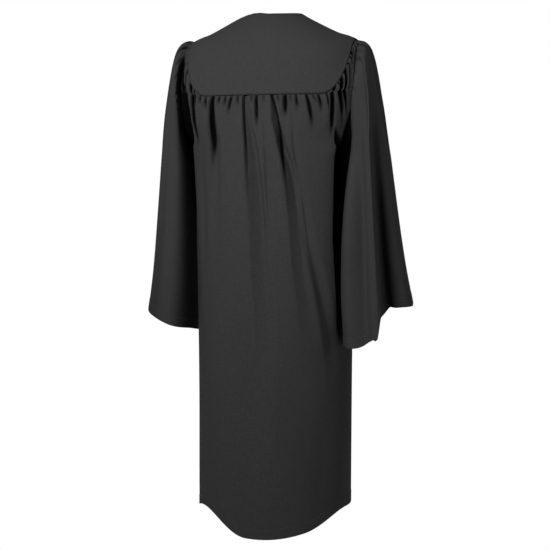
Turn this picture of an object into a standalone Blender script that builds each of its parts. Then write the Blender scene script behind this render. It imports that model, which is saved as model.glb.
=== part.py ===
"""Judicial robe: a long black gown, filled out as if worn, that hangs from the wearer's shoulders.

Axes: +X is the wearer's right, -Y the back, +Z up. The origin is at the base of the neck, where the
shoulders carry the robe. All cloth is one wall, laid on the outer side of a form that is worked out
from the rings below:

- a place on the gown's form is (turn, run): turn is the angle around the body, 0 at the centre back,
  90 at the wearer's right side and 180 at the centre front, and run is the way down from the neck
- a place on a sleeve's form is (turn, run) too: turn is 0 on the outer line, 90 at the back and 180
  on the inner line, and run goes from 0 at the armhole to 1 at the cuff
"""
import math
from collections import namedtuple

import bmesh
import bpy
from mathutils import Euler, Vector

# ---------------------------------------------------------------- driving sizes, metres and degrees
NECK_RISE = 0.010            # back neck edge above the origin
CLOTH = 0.0015               # wall of every cloth piece
SEAM_GAP = 0.0003            # clearance between pieces that are sewn together
HEM_RUN = 1.205              # run at the hem
SHOULDER_RUN = 0.150         # run at the shoulder point, where yoke, front and sleeve meet
UNDERARM_RUN = 0.360         # run at the foot of the armhole
ARMHOLE_BACK = 37.0          # how far the armhole reaches round the back from the side, degrees
ARMHOLE_FRONT = 34.0         # and round the front

YOKE_FLAT = 0.134            # half of the straight part of the yoke's lower edge
YOKE_DROP = 0.2010           # that edge below the neck edge
YOKE_CORNER = 0.0612         # sideways reach of the yoke's rounded corner
YOKE_CORNER_POWER = 2.15     # 2 is an ellipse, more is squarer

YOKE_ROWS = 8                # also the columns of each front
BACK_COLUMNS = 36            # also the columns of the yoke
ARMHOLE_ROWS = 12            # rows of back and front along the armhole, half of a sleeve's columns
SIDE_ROWS = 10               # rows of back and front from the underarm to the hem
ROW_GROWTH = 1.35            # above 1, those rows start closer together
SLEEVE_ROWS = 13
COLUMN_SETTLE = 0.250        # run in which the back's columns spread evenly below the yoke
SQUEEZE_EASE = 0.6           # how much of that squeeze falls on the columns near the armhole
FOLD_START = 0.060           # run in which a fold grows to its full depth below a seam
NECKLINE_ROWS = 9            # rows of a front along the neckline, down to the foot of the V

ZIP_HALF_GAP = 0.0055        # from the centre to the edge of each front
ZIP_LAST_ROW = 21            # row of the fronts where the zip ends
TAPE_WIDTH = 0.0150
TAPE_WALL = 0.0010
TAPE_HALF_GAP = 0.0004       # the two tapes stand this far from the centre

# Slider and pull tab of the zip, in the slider's own axes: X across, Y outward, Z up along the zip,
# from the middle of the tapes' top edge. Sizes run across, outward and up; places are of the middle.
SLIDER_SIZE = (0.0090, 0.0040, 0.0120)
SLIDER_PLACE = (0.0, 0.0, -0.0030)
SLOT_SIZE = (0.0110, 0.0016, 0.0120)
SLOT_PLACE = (0.0, 0.0, -0.0057)
BAIL_SIZE = (0.0014, 0.0040, 0.0070)
BAIL_PLACE = (0.0, 0.0034, -0.0020)
WINDOW_SIZE = (0.0030, 0.0024, 0.0050)
WINDOW_PLACE = (0.0, 0.0032, -0.0020)
TAB_AXIS = (0.0, 0.0032, -0.0035)
TAB_SIZE = (0.0060, 0.0012, 0.0246)
TAB_PLACE = (0.0, 0.0, -0.0117)
EYE_SIZE = (0.0034, 0.0040, 0.0058)
EYE_PLACE = (0.0, 0.0, -0.0035)
METAL_EDGE = 0.0003          # rounding of slider and tab

BLACK = (0.020, 0.020, 0.021, 1.0)
TAPE_BLACK = (0.014, 0.014, 0.015, 1.0)
METAL = (0.035, 0.035, 0.037, 1.0)

# Rings of the gown's form. side_x, back_y and front_y are half widths and depths, the drops are
# below the neck edge, and square is 2 for an ellipse and more for a flatter back and front.
Ring = namedtuple("Ring", "run side_x side_drop back_y back_drop front_y front_drop square")
BODY_RINGS = (
    Ring(0.000, 0.066, 0.003, 0.056, 0.010, 0.064, 0.030, 2.0),
    Ring(0.012, 0.074, 0.008, 0.067, 0.019, 0.073, 0.040, 2.1),
    Ring(0.050, 0.107, 0.026, 0.092, 0.048, 0.092, 0.068, 2.4),
    Ring(0.100, 0.151, 0.048, 0.113, 0.088, 0.109, 0.104, 2.7),
    Ring(0.150, 0.196, 0.067, 0.126, 0.130, 0.119, 0.142, 2.9),
    Ring(0.200, 0.220, 0.114, 0.134, 0.173, 0.125, 0.182, 3.0),
    Ring(0.250, 0.232, 0.172, 0.139, 0.216, 0.127, 0.222, 3.0),
    Ring(0.300, 0.222, 0.236, 0.142, 0.262, 0.128, 0.264, 2.9),
    Ring(0.360, 0.201, 0.312, 0.144, 0.320, 0.128, 0.320, 2.7),
    Ring(0.500, 0.191, 0.462, 0.147, 0.466, 0.129, 0.462, 2.5),
    Ring(0.800, 0.186, 0.770, 0.160, 0.783, 0.133, 0.768, 2.4),
    Ring(1.205, 0.185, 1.176, 0.186, 1.222, 0.146, 1.172, 2.2),
)

# Sections of a sleeve, given for the wearer's right: the centre, the tilt of the line from the inner
# to the outer side, half of its length, and half the depth from front to back.
Section = namedtuple("Section", "run x y drop tilt across depth square")
SLEEVE_SECTIONS = (
    Section(0.10, 0.2200, -0.004, 0.200, 83.5, 0.1150, 0.103, 2.2),
    Section(0.22, 0.2320, -0.002, 0.272, 69.0, 0.0780, 0.107, 2.2),
    Section(0.38, 0.2400, 0.001, 0.362, 48.0, 0.0550, 0.113, 2.3),
    Section(0.55, 0.2490, 0.006, 0.480, 28.0, 0.0520, 0.122, 2.4),
    Section(0.78, 0.2590, 0.015, 0.624, 27.0, 0.0640, 0.140, 2.4),
    Section(1.00, 0.2690, 0.028, 0.738, 28.0, 0.0750, 0.162, 2.4),
)

# Soft troughs (negative depth) and ridges of the back. At the yoke a fold stands at start_across and
# at the hem at end_across, both as a share of the half width, and reach is where it fades, as a
# share of the way down. half_width is a share of the half width too.
Fold = namedtuple("Fold", "start_across end_across half_width depth reach")
BACK_FOLDS = (
    Fold(-0.800, -0.700, 0.075, -0.006, 0.16),
    Fold(-0.540, -0.560, 0.085, -0.008, 0.34),
    Fold(-0.420, -0.440, 0.075, 0.004, 0.40),
    Fold(-0.270, -0.250, 0.085, -0.010, 0.62),
    Fold(-0.130, -0.120, 0.075, 0.005, 0.60),
    Fold(-0.020, 0.140, 0.085, -0.010, 0.80),
    Fold(0.130, 0.260, 0.075, 0.004, 0.50),
    Fold(0.270, 0.440, 0.085, -0.008, 0.60),
    Fold(0.540, 0.600, 0.080, 0.004, 0.40),
    Fold(0.680, 0.700, 0.080, -0.008, 0.24),
    Fold(0.860, 0.830, 0.070, -0.006, 0.16),
)
FRONT_FOLDS = (
    Fold(0.300, 0.420, 0.170, -0.008, 0.75),
    Fold(0.520, 0.650, 0.160, 0.005, 0.60),
)

# Folds that run down a sleeve, by the turn where they stand at the cuff and at the armhole.
SleeveFold = namedtuple("SleeveFold", "head_turn cuff_turn half_width depth begins full")
SLEEVE_FOLDS = {
    "right": (
        SleeveFold(80.0, 84.0, 26.0, 0.014, 0.05, 1.00),
        SleeveFold(52.0, 52.0, 34.0, -0.046, 0.08, 1.00),
        SleeveFold(138.0, 140.0, 38.0, 0.048, 0.04, 0.65),
        SleeveFold(290.0, 300.0, 40.0, -0.018, 0.30, 1.00),
    ),
    "left": (
        SleeveFold(20.0, 20.0, 70.0, -0.022, 0.10, 1.00),
        SleeveFold(58.0, 54.0, 36.0, -0.020, 0.05, 1.00),
        SleeveFold(128.0, 132.0, 30.0, 0.012, 0.35, 1.00),
        SleeveFold(300.0, 305.0, 40.0, -0.016, 0.30, 1.00),
    ),
}

# Where a cuff or the hem hangs lower (positive) or higher than the plain form.
Uneven = namedtuple("Uneven", "turn half_width drop")
CUFF_DROPS = {
    "right": (Uneven(0.0, 60.0, -0.006), Uneven(84.0, 24.0, 0.010), Uneven(118.0, 52.0, 0.024)),
    "left": (Uneven(-20.0, 80.0, 0.016),),
}
HEM_DROPS = (Uneven(-44.0, 36.0, -0.038), Uneven(64.0, 30.0, -0.012))


# ---------------------------------------------------------------- the gown's form
def smooth(share):
    """An even start and end between 0 and 1."""
    share = min(max(share, 0.0), 1.0)
    return share * share * (3.0 - 2.0 * share)


def between_rows(rows, run):
    """The columns of a table at a run, on smooth curves through its rows."""
    last = len(rows) - 1
    low = 0
    while low < last - 1 and run > rows[low + 1].run:
        low += 1
    ends = rows[max(low - 1, 0)], rows[low], rows[low + 1], rows[min(low + 2, last)]
    span = ends[2].run - ends[1].run
    share = min(max((run - ends[1].run) / span, 0.0), 1.0)
    values = []
    for before, start, end, after in zip(*ends):
        slope_start = (end - before) / (ends[2].run - ends[0].run) * span
        slope_end = (after - start) / (ends[3].run - ends[1].run) * span
        square = share * share
        cube = square * share
        values.append(start * (2 * cube - 3 * square + 1) + end * (3 * square - 2 * cube)
                      + slope_start * (cube - 2 * square + share) + slope_end * (cube - square))
    return type(rows[0])(*values)


def rounded(turn, square):
    """Unit oval: 1 at every quarter turn, with fuller corners as square rises above 2."""
    along, across = math.cos(math.radians(turn)), math.sin(math.radians(turn))
    reach = (abs(along) ** square + abs(across) ** square) ** (-1.0 / square)
    return along * reach, across * reach


def turn_distance(first, second):
    """Degrees between two turns, the short way."""
    return abs((first - second + 180.0) % 360.0 - 180.0)


def uneven_drop(table, turn):
    """How much lower an edge hangs at a turn."""
    drop = 0.0
    for uneven in table:
        offset = turn_distance(turn, uneven.turn) / uneven.half_width
        if offset < 1.0:
            drop += uneven.drop * math.cos(offset * math.pi / 2.0) ** 2
    return drop


def body_point(turn, run):
    """A point of the gown's form."""
    ring = between_rows(BODY_RINGS, run)
    backward, sideways = rounded(turn, ring.square)
    behind = backward > 0.0
    depth = -ring.back_y if behind else -ring.front_y
    middle_drop = ring.back_drop if behind else ring.front_drop
    drop = ring.side_drop + (middle_drop - ring.side_drop) * math.cos(math.radians(turn)) ** 2
    drop += uneven_drop(HEM_DROPS, turn) * (run / HEM_RUN) ** 4
    return Vector((ring.side_x * sideways, depth * backward, NECK_RISE - drop))


def body_normal(turn, run):
    """The outward direction there."""
    step_turn, step_run = 0.5, 0.002
    around = body_point(turn + step_turn, run) - body_point(turn - step_turn, run)
    down = body_point(turn, run + step_run) - body_point(turn, max(run - step_run, 0.0))
    return down.cross(around).normalized()


def side_row_run(row):
    """Run of a row of the back or a front at the side: the armhole, then the side seam."""
    if row <= ARMHOLE_ROWS:
        half = (UNDERARM_RUN - SHOULDER_RUN) / 2.0
        return SHOULDER_RUN + half * (1.0 - math.cos(math.pi * row / ARMHOLE_ROWS))
    share = ((row - ARMHOLE_ROWS) / SIDE_ROWS) ** ROW_GROWTH
    return UNDERARM_RUN + (HEM_RUN - UNDERARM_RUN) * share


def row_share(row):
    """How far down the side a row lies, from 0 at the shoulder point to 1 at the hem."""
    return (side_row_run(row) - SHOULDER_RUN) / (HEM_RUN - SHOULDER_RUN)


def armhole_cut(run, reach):
    """Degrees that the oval armhole takes from the side of the body at a run."""
    half = (UNDERARM_RUN - SHOULDER_RUN) / 2.0
    offset = (run - SHOULDER_RUN - half) / half
    return reach * math.sqrt(max(1.0 - offset * offset, 0.0))


# ---------------------------------------------------------------- the yoke's lower edge
def place_behind(x, drop):
    """(turn, run) of the point of the back at a distance from the centre and below the neck edge."""
    run_low, run_high = 0.0, 0.5
    turn = 90.0
    for _ in range(40):
        run = (run_low + run_high) / 2.0
        turn_low, turn_high = 0.0, 90.0
        for _ in range(40):
            turn = (turn_low + turn_high) / 2.0
            if body_point(turn, run).x < x:
                turn_low = turn
            else:
                turn_high = turn
        if NECK_RISE - body_point(turn, run).z < drop:
            run_low = run
        else:
            run_high = run
    return turn, run


def yoke_edge():
    """Places along the right half of the yoke's lower edge, evenly spaced, centre to shoulder."""
    corner_rise = YOKE_DROP - BODY_RINGS[4].side_drop
    outline = [(YOKE_FLAT * step / 8, YOKE_DROP) for step in range(8)]
    for step in range(25):
        angle = math.radians(90.0 * step / 24)
        across = math.sin(angle) ** (2.0 / YOKE_CORNER_POWER)
        down = math.cos(angle) ** (2.0 / YOKE_CORNER_POWER)
        outline.append((YOKE_FLAT + YOKE_CORNER * across, YOKE_DROP - corner_rise * (1.0 - down)))
    places = [place_behind(x, drop) for x, drop in outline]
    places[-1] = (90.0, SHOULDER_RUN)
    points = [body_point(turn, run) for turn, run in places]
    lengths = [0.0]
    for before, after in zip(points, points[1:]):
        lengths.append(lengths[-1] + (after - before).length)
    half_columns = BACK_COLUMNS // 2
    even = []
    for column in range(half_columns + 1):
        target = lengths[-1] * column / half_columns
        index = max(i for i, length in enumerate(lengths[:-1]) if length <= target + 1e-9)
        share = (target - lengths[index]) / (lengths[index + 1] - lengths[index])
        start, end = places[index], places[index + 1]
        even.append((start[0] + (end[0] - start[0]) * share, start[1] + (end[1] - start[1]) * share))
    return even


def edge_run_at(edge, turn):
    """Run of the yoke's lower edge at a turn."""
    for start, end in zip(edge, edge[1:]):
        if turn <= end[0]:
            return start[1] + (end[1] - start[1]) * (turn - start[0]) / (end[0] - start[0])
    return edge[-1][1]


def fold_height(folds, across, down, below_seam):
    """Displacement of the cloth by a table of folds, none at the sewn edge above."""
    height = 0.0
    for fold in folds:
        middle = fold.start_across + (fold.end_across - fold.start_across) * down
        offset = abs(across - middle) / fold.half_width
        if offset < 1.0 and down < fold.reach:
            strength = smooth(below_seam / FOLD_START) * smooth((fold.reach - down) / (0.6 * fold.reach))
            height += fold.depth * strength * math.cos(offset * math.pi / 2.0) ** 2
    return height


# ---------------------------------------------------------------- grids of points for the panels
def yoke_grid(edge):
    """Rows from the neck edge to the gathers, columns from the left shoulder to the right."""
    half_columns = BACK_COLUMNS // 2
    grid = []
    for row in range(YOKE_ROWS + 1):
        down = row / YOKE_ROWS
        points = []
        for column in range(-half_columns, half_columns + 1):
            side = -1.0 if column < 0 else 1.0
            edge_turn, edge_run = edge[abs(column)]
            neck_turn = 90.0 * abs(column) / half_columns
            turn = side * (neck_turn + (edge_turn - neck_turn) * down)
            points.append(body_point(turn, edge_run * down))
        grid.append(points)
    return grid


def seam_turn_at(edge, run):
    """Turn of the yoke's rising side at a run, or of its corner below that."""
    corner = max(range(len(edge)), key=lambda column: edge[column][1])
    for start, end in zip(edge[corner:], edge[corner + 1:]):
        if start[1] >= run > end[1]:
            return start[0] + (end[0] - start[0]) * (start[1] - run) / (start[1] - end[1])
    return edge[corner][0] if run > edge[corner][1] else 90.0


def back_turn(across, run, edge):
    """Turn of a column of the back at a run, squeezed in between the yoke's side and the armhole."""
    top_turn, top_run = edge[round(across * (len(edge) - 1))]
    settled = smooth((run - top_run) / COLUMN_SETTLE)
    free_turn = top_turn + (90.0 * across - top_turn) * settled
    seam_turn = seam_turn_at(edge, run)
    if free_turn <= seam_turn:
        return free_turn
    room = 90.0 - seam_turn
    squeezed = room - armhole_cut(run, ARMHOLE_BACK)
    share = (free_turn - seam_turn) / room
    eased = 1.0 - (1.0 - share) ** (room / squeezed)
    return seam_turn + squeezed * (share + SQUEEZE_EASE * (eased - share))


def back_grid(edge):
    """Rows from the yoke to the hem, columns from the left side to the right."""
    half_columns = BACK_COLUMNS // 2
    grid = []
    for row in range(ARMHOLE_ROWS + SIDE_ROWS + 1):
        down = row_share(row)
        points = []
        for column in range(-half_columns, half_columns + 1):
            across = column / half_columns
            edge_run = edge[abs(column)][1]
            run = edge_run + (HEM_RUN - edge_run) * down
            turn = back_turn(abs(across), run, edge)
            height = fold_height(BACK_FOLDS, across, down, run - edge_run_at(edge, turn))
            turn = math.copysign(turn, across)
            points.append(body_point(turn, run) + body_normal(turn, run) * height)
        grid.append(points)
    return grid


def centre_front_turn(run, x):
    """Turn of a point of the front at a small distance from the centre."""
    return 180.0 - math.degrees(math.asin(x / between_rows(BODY_RINGS, run).side_x))


def front_grid(side):
    """Rows from the shoulder seam to the hem, columns from the neckline and zip to the side."""
    neckline_share = row_share(NECKLINE_ROWS)
    grid = []
    for row in range(ARMHOLE_ROWS + SIDE_ROWS + 1):
        down = row_share(row)
        inner_run = HEM_RUN * down
        inner_turn = centre_front_turn(inner_run, ZIP_HALF_GAP)
        if row < NECKLINE_ROWS:
            inner_turn = 90.0 + (inner_turn - 90.0) * down / neckline_share
        outer_run = side_row_run(row)
        outer_turn = 90.0 + armhole_cut(outer_run, ARMHOLE_FRONT)
        points = []
        for column in range(YOKE_ROWS + 1):
            across = column / YOKE_ROWS
            turn = inner_turn + (outer_turn - inner_turn) * across
            run = inner_run + (outer_run - inner_run) * across
            height = fold_height(FRONT_FOLDS, across, down, HEM_RUN * down - SHOULDER_RUN)
            points.append(body_point(side * turn, run) + body_normal(side * turn, run) * height)
        grid.append(points)
    return grid


def sleeve_section(section, turn, side):
    """A point of one section of a sleeve."""
    outward, backward = rounded(turn, section.square)
    tilt = math.radians(section.tilt)
    x = section.x + section.across * outward * math.cos(tilt)
    y = section.y - section.depth * backward
    z = NECK_RISE - section.drop + section.across * outward * math.sin(tilt)
    return Vector((side * x, y, z))


def armhole_point(turn, side):
    """Where the sleeve is sewn on: on the edge of back and front, just clear of their wall."""
    run = side_row_run(ARMHOLE_ROWS * (turn if turn <= 180.0 else 360.0 - turn) / 180.0)
    place = 90.0 - armhole_cut(run, ARMHOLE_BACK if turn <= 180.0 else -ARMHOLE_FRONT)
    point = body_point(side * place, run)
    inward = body_point(side * 90.0, (SHOULDER_RUN + UNDERARM_RUN) / 2.0) - point
    clear = body_normal(side * place, run) * (CLOTH + 2.0 * SEAM_GAP)
    return point + clear + inward.normalized() * (SEAM_GAP / 2.0)


def sleeve_grid(name, side):
    """Rows from the armhole to the cuff; the last column meets the first again."""
    columns = 2 * ARMHOLE_ROWS
    turns = [360.0 * column / columns for column in range(columns)]
    runs = [0.0] + [section.run for section in SLEEVE_SECTIONS]
    control = [[armhole_point(turn, side) for turn in turns]]
    control += [[sleeve_section(section, turn, side) for turn in turns] for section in SLEEVE_SECTIONS]
    grid = []
    for row in range(SLEEVE_ROWS + 1):
        run = (row / SLEEVE_ROWS) ** 1.25
        low = max(index for index in range(len(runs) - 1) if runs[index] <= run + 1e-9)
        rows = [max(low - 1, 0), low, low + 1, min(low + 2, len(runs) - 1)]
        span = runs[rows[2]] - runs[rows[1]]
        share = (run - runs[rows[1]]) / span
        square, cube = share * share, share ** 3
        points = []
        for column in range(columns):
            before, start, end, after = (control[index][column] for index in rows)
            slope_start = (end - before) * (span / (runs[rows[2]] - runs[rows[0]]))
            slope_end = (after - start) * (span / (runs[rows[3]] - runs[rows[1]]))
            points.append(start * (2 * cube - 3 * square + 1) + end * (3 * square - 2 * cube)
                          + slope_start * (cube - 2 * square + share) + slope_end * (cube - square))
        grid.append(points)
    shape_sleeve(grid, name, turns)
    return grid


def shape_sleeve(grid, name, turns):
    """Press a sleeve's folds into its rings and let its cuff hang unevenly."""
    for row, points in enumerate(grid):
        run = (row / SLEEVE_ROWS) ** 1.25
        centre = sum(points, Vector()) / len(points)
        moved = []
        for turn, point in zip(turns, points):
            height = 0.0
            for fold in SLEEVE_FOLDS[name]:
                middle = fold.head_turn + (fold.cuff_turn - fold.head_turn) * run
                offset = turn_distance(turn, middle) / fold.half_width
                if offset < 1.0 and run > fold.begins:
                    strength = smooth((run - fold.begins) / (fold.full - fold.begins))
                    height += fold.depth * strength * math.cos(offset * math.pi / 2.0) ** 2
            outward = point - centre
            outward.z = 0.0
            drop = uneven_drop(CUFF_DROPS[name], turn) * run ** 2
            moved.append(point + outward.normalized() * height - Vector((0.0, 0.0, drop)))
        grid[row] = moved


def pull_in(line, inner_line, distance):
    """Points of an edge, moved square to the edge towards the line of points inside it."""
    moved = []
    for index, (point, inside) in enumerate(zip(line, inner_line)):
        along = line[min(index + 1, len(line) - 1)] - line[max(index - 1, 0)]
        way = inside - point
        way -= along * (way.dot(along) / along.length_squared)
        moved.append(point + way.normalized() * distance)
    return moved


def trim_rows(grid, edge, inner):
    """Cut a sewn edge along a row back by half of the seam's clearance."""
    grid[edge] = pull_in(grid[edge], grid[inner], SEAM_GAP / 2.0)


def trim_column(grid, edge, inner):
    """Cut a sewn edge along a column back likewise."""
    moved = pull_in([row[edge] for row in grid], [row[inner] for row in grid], SEAM_GAP / 2.0)
    for row, point in zip(grid, moved):
        row[edge] = point


# ---------------------------------------------------------------- objects
def material(name, colour, roughness, metallic=0.0):
    made = bpy.data.materials.new(name)
    made.use_nodes = True
    shader = made.node_tree.nodes["Principled BSDF"]
    shader.inputs["Base Color"].default_value = colour
    shader.inputs["Roughness"].default_value = roughness
    shader.inputs["Metallic"].default_value = metallic
    made.diffuse_color = colour
    return made


def add_to(collection, name, mesh, finish):
    made = bpy.data.objects.new(name, mesh)
    made.data.materials.append(finish)
    collection.objects.link(made)
    return made


def cloth_panel(collection, name, grid, finish, outward, closed=False, wall=CLOTH, side=1.0):
    """A wall of cloth on the outer (side 1) or inner (side -1) face of a grid of points."""
    shape = bmesh.new()
    rows = [[shape.verts.new(point) for point in points] for points in grid]
    columns = len(rows[0])
    steps = columns if closed else columns - 1
    for upper, lower in zip(rows, rows[1:]):
        for column in range(steps):
            after = (column + 1) % columns
            shape.faces.new((upper[column], upper[after], lower[after], lower[column]))
    shape.normal_update()
    shape.faces.ensure_lookup_table()
    middle = shape.faces[len(shape.faces) // 2]
    if middle.normal.dot(outward(middle.calc_center_median())) < 0.0:
        bmesh.ops.reverse_faces(shape, faces=shape.faces)
    mesh = bpy.data.meshes.new(name)
    shape.to_mesh(mesh)
    shape.free()
    mesh.shade_smooth()
    panel = add_to(collection, name, mesh, finish)
    thicken = panel.modifiers.new("wall", "SOLIDIFY")
    thicken.thickness = wall
    thicken.offset = side
    return panel


def from_axis(point):
    return Vector((point.x, point.y, 0.0))


def zip_tape(collection, name, side, front, finish):
    """A strip behind the edge of a front, in the plane of the front's first facets."""
    grid = []
    for row in range(NECKLINE_ROWS, ZIP_LAST_ROW + 1):
        start, inside = front[row][0], front[row][1]
        behind = body_normal(180.0, HEM_RUN * row_share(row)) * (TAPE_WALL + SEAM_GAP)
        grid.append([start + (inside - start) * ((side * x - start.x) / (inside.x - start.x)) - behind
                     for x in (TAPE_HALF_GAP, TAPE_WIDTH)])
    cloth_panel(collection, name, grid, finish, from_axis, wall=TAPE_WALL)
    return grid


def block(collection, name, size, place, rounding=0.0):
    """A box at a place in its object's own axes, with slightly rounded edges if asked."""
    shape = bmesh.new()
    bmesh.ops.create_cube(shape, size=1.0)
    bmesh.ops.scale(shape, vec=size, verts=shape.verts)
    bmesh.ops.translate(shape, vec=place, verts=shape.verts)
    if rounding:
        bmesh.ops.bevel(shape, geom=shape.edges[:], offset=rounding, segments=2, affect="EDGES")
    mesh = bpy.data.meshes.new(name)
    shape.to_mesh(mesh)
    shape.free()
    made = bpy.data.objects.new(name, mesh)
    collection.objects.link(made)
    return made


def combine(target, tool, operation):
    """Join or cut a piece with a hidden tool piece that sits in the same axes."""
    tool.hide_render = True
    tool.display_type = "WIRE"
    step = target.modifiers.new(tool.name, "BOOLEAN")
    step.operation = operation
    step.solver = "EXACT"
    step.object = tool


def zip_pull(robe, cutters, top, tilt):
    """The slider at the head of the zip, and the pull tab that swings on the slider's bail."""
    metal = material("slider_metal", METAL, 0.45, 0.8)
    slider = block(robe, "zip_slider", SLIDER_SIZE, SLIDER_PLACE, METAL_EDGE)
    slot = block(cutters, "tape_slot", SLOT_SIZE, SLOT_PLACE)
    bail = block(cutters, "bail", BAIL_SIZE, BAIL_PLACE)
    window = block(cutters, "bail_window", WINDOW_SIZE, WINDOW_PLACE)
    combine(bail, window, "DIFFERENCE")
    combine(slider, slot, "DIFFERENCE")
    combine(slider, bail, "UNION")
    tab = block(robe, "pull_tab", TAB_SIZE, TAB_PLACE, METAL_EDGE)
    eye = block(cutters, "tab_eye", EYE_SIZE, EYE_PLACE)
    combine(tab, eye, "DIFFERENCE")
    for piece in (slider, slot, bail, window):
        piece.location = top
        piece.rotation_euler = (tilt, 0.0, 0.0)
    axis = Vector(TAB_AXIS)
    axis.rotate(Euler((tilt, 0.0, 0.0)))
    for piece in (tab, eye):
        piece.location = top + axis
        piece.rotation_euler = (tilt, 0.0, 0.0)
    slider.data.materials.append(metal)
    tab.data.materials.append(material("tab_metal", METAL, 0.45, 0.8))


def build():
    for existing in list(bpy.data.objects):
        bpy.data.objects.remove(existing, do_unlink=True)
    robe = bpy.data.collections.new("judicial_robe")
    cutters = bpy.data.collections.new("cutters")
    bpy.context.scene.collection.children.link(robe)
    bpy.context.scene.collection.children.link(cutters)
    edge = yoke_edge()
    yoke = yoke_grid(edge)
    trim_rows(yoke, -1, -2)
    trim_column(yoke, 0, 1)
    trim_column(yoke, -1, -2)
    cloth_panel(robe, "back_yoke", yoke, material("yoke_cloth", BLACK, 0.75), from_axis)
    back = back_grid(edge)
    trim_rows(back, 0, 1)
    trim_column(back, 0, 1)
    trim_column(back, -1, -2)
    cloth_panel(robe, "back_panel", back, material("back_cloth", BLACK, 0.75), from_axis)
    for name, side in (("left", -1.0), ("right", 1.0)):
        front = front_grid(side)
        trim_rows(front, 0, 1)
        trim_column(front, -1, -2)
        cloth_panel(robe, name + "_front", front, material(name + "_front_cloth", BLACK, 0.75), from_axis)
        sleeve = sleeve_grid(name, side)
        centre = Vector((side * SLEEVE_SECTIONS[3].x, SLEEVE_SECTIONS[3].y, 0.0))
        cloth_panel(robe, name + "_sleeve", sleeve, material(name + "_sleeve_cloth", BLACK, 0.75),
                    lambda point, centre=centre: from_axis(point) - centre, closed=True, side=-1.0)
        tape = zip_tape(robe, name + "_zip_tape", side, front, material(name + "_tape", TAPE_BLACK, 0.85))
    head, below = tape[0][0], tape[1][0]
    tilt = math.atan2(below.y - head.y, head.z - below.z)
    outward = Vector((0.0, math.cos(tilt), math.sin(tilt)))
    zip_pull(robe, cutters, Vector((0.0, head.y, head.z)) + outward * (TAPE_WALL / 2.0), tilt)


build()
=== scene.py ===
"""Judicial robe, dressed: matte black gown cloth with its gathers, seams, hems, stitching and zip.

Axes are the frame's: +X the wearer's right, -Y the back, +Z up, in metres. Every panel is laid on
the same form as its solid, worked out from the rings and sections below, at a finer pitch. Along a
panel, "along" is measured on its sewn edge and "down" below it; a turn is an angle round the body
or a sleeve, as in the tables.
"""
import math
from collections import namedtuple

import bmesh
import bpy
import numpy as np
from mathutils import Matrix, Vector


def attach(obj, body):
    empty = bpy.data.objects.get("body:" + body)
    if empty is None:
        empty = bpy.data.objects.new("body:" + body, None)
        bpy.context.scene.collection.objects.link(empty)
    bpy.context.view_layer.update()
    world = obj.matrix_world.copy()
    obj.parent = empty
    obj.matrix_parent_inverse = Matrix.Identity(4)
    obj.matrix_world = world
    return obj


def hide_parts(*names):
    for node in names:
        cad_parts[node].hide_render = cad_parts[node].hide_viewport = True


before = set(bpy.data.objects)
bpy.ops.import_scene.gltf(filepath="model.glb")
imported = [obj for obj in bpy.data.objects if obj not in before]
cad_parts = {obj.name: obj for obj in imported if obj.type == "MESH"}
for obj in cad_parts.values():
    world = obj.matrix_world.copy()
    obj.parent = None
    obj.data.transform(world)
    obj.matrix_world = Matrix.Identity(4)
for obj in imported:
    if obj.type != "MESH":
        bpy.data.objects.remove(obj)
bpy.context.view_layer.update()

# ---------------------------------------------------------------- sizes, metres and degrees
NECK_RISE = 0.010
CLOTH = 0.0015               # wall of the solids
SEAM_GAP = 0.0003
HEM_RUN = 1.205
SHOULDER_RUN = 0.150
UNDERARM_RUN = 0.360
ARMHOLE_BACK = 37.0
ARMHOLE_FRONT = 34.0
YOKE_FLAT = 0.134
YOKE_DROP = 0.2010
YOKE_CORNER = 0.0612
YOKE_CORNER_POWER = 2.15
COLUMN_SETTLE = 0.250
SQUEEZE_EASE = 0.6
ARMHOLE_ROWS = 12            # rows of the solids, the measure that the finer rows count in
SIDE_ROWS = 10
ROW_GROWTH = 1.35
NECKLINE_ROWS = 9
ZIP_HALF_GAP = 0.0055
ZIP_LAST_ROW = 21
CLOTH_WALL = 0.0009          # what shows at an edge: cloth folded over once
BEHIND = 0.0004              # that the wall's outer face stays inside the solid's
TOP_TURNING = 0.011          # that the back reaches up behind the yoke
UNDER_YOKE = 0.0016          # that the back starts behind the yoke's edge
NECK_LEVEL = 0.003           # that the neck edge stands higher on the left of the back
GATHER_DEPTH = 1.6           # times the depths in the gathers' table
GATHER_WIDTH = 1.15          # times the widths in it
GATHER_START = 0.004         # below a seam, over which a crease begins
GATHER_FADE = 0.8            # share of a gather's length over which it fades
GATHER_ROLL = 0.30           # share of a crease's depth that the cloth rolls up beside it
HIGHEST_ROLL = 0.0040
CREST_HEIGHT = 1.5           # times the rises and drops in the crests' table
CREST_APPROACH = 0.024       # over which the cloth rises to a crest
PAINTED_SHADE_DEPTH = 0.0054         # depth of a crease at which its painted shade is full, as though no light reached it
SLEEVE_PAINTED_SHADE = 1.5            # how fast the painted shade of the sleeves' folds comes on, against the back's tuck
TOP_SWELL = 0.0018           # that the back stands out just below the yoke's seam
TUCK_SWELL = 0.0075          # that it stands out before the tuck on the right
SIDE_TUCK = 0.036            # how far it sinks beside the right sleeve
LEFT_TUCK = 0.016            # how far it sinks beside the left sleeve
YOKE_FOLD = 0.0014           # that the yoke's turned edge stands out
HEAD_SWELL = 0.0022          # that the sleeves stand out just below their seams
HOLLOW_DEPTH = 0.034         # of the hollow in the left sleeve, which also gets painted shade
HEM_FOLD = 0.025             # that hem and cuffs are turned up, with the stitches at its top
HEM_THICK = 0.0006           # that the cloth stands out over the turned hem
EDGE_STITCH = 0.0062         # from the neck edge and the fronts' edges to their stitches
STITCH_PITCH = 0.0034
STITCH_SIZE = (0.0023, 0.00046, 0.00034)
STITCH_OUT = 0.00005         # that the middle of a stitch lies over the cloth
UNEVENNESS = 0.12            # of the sizes of stitches and teeth
SEED = 7
TAPE_WIDTH = 0.0150
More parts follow.
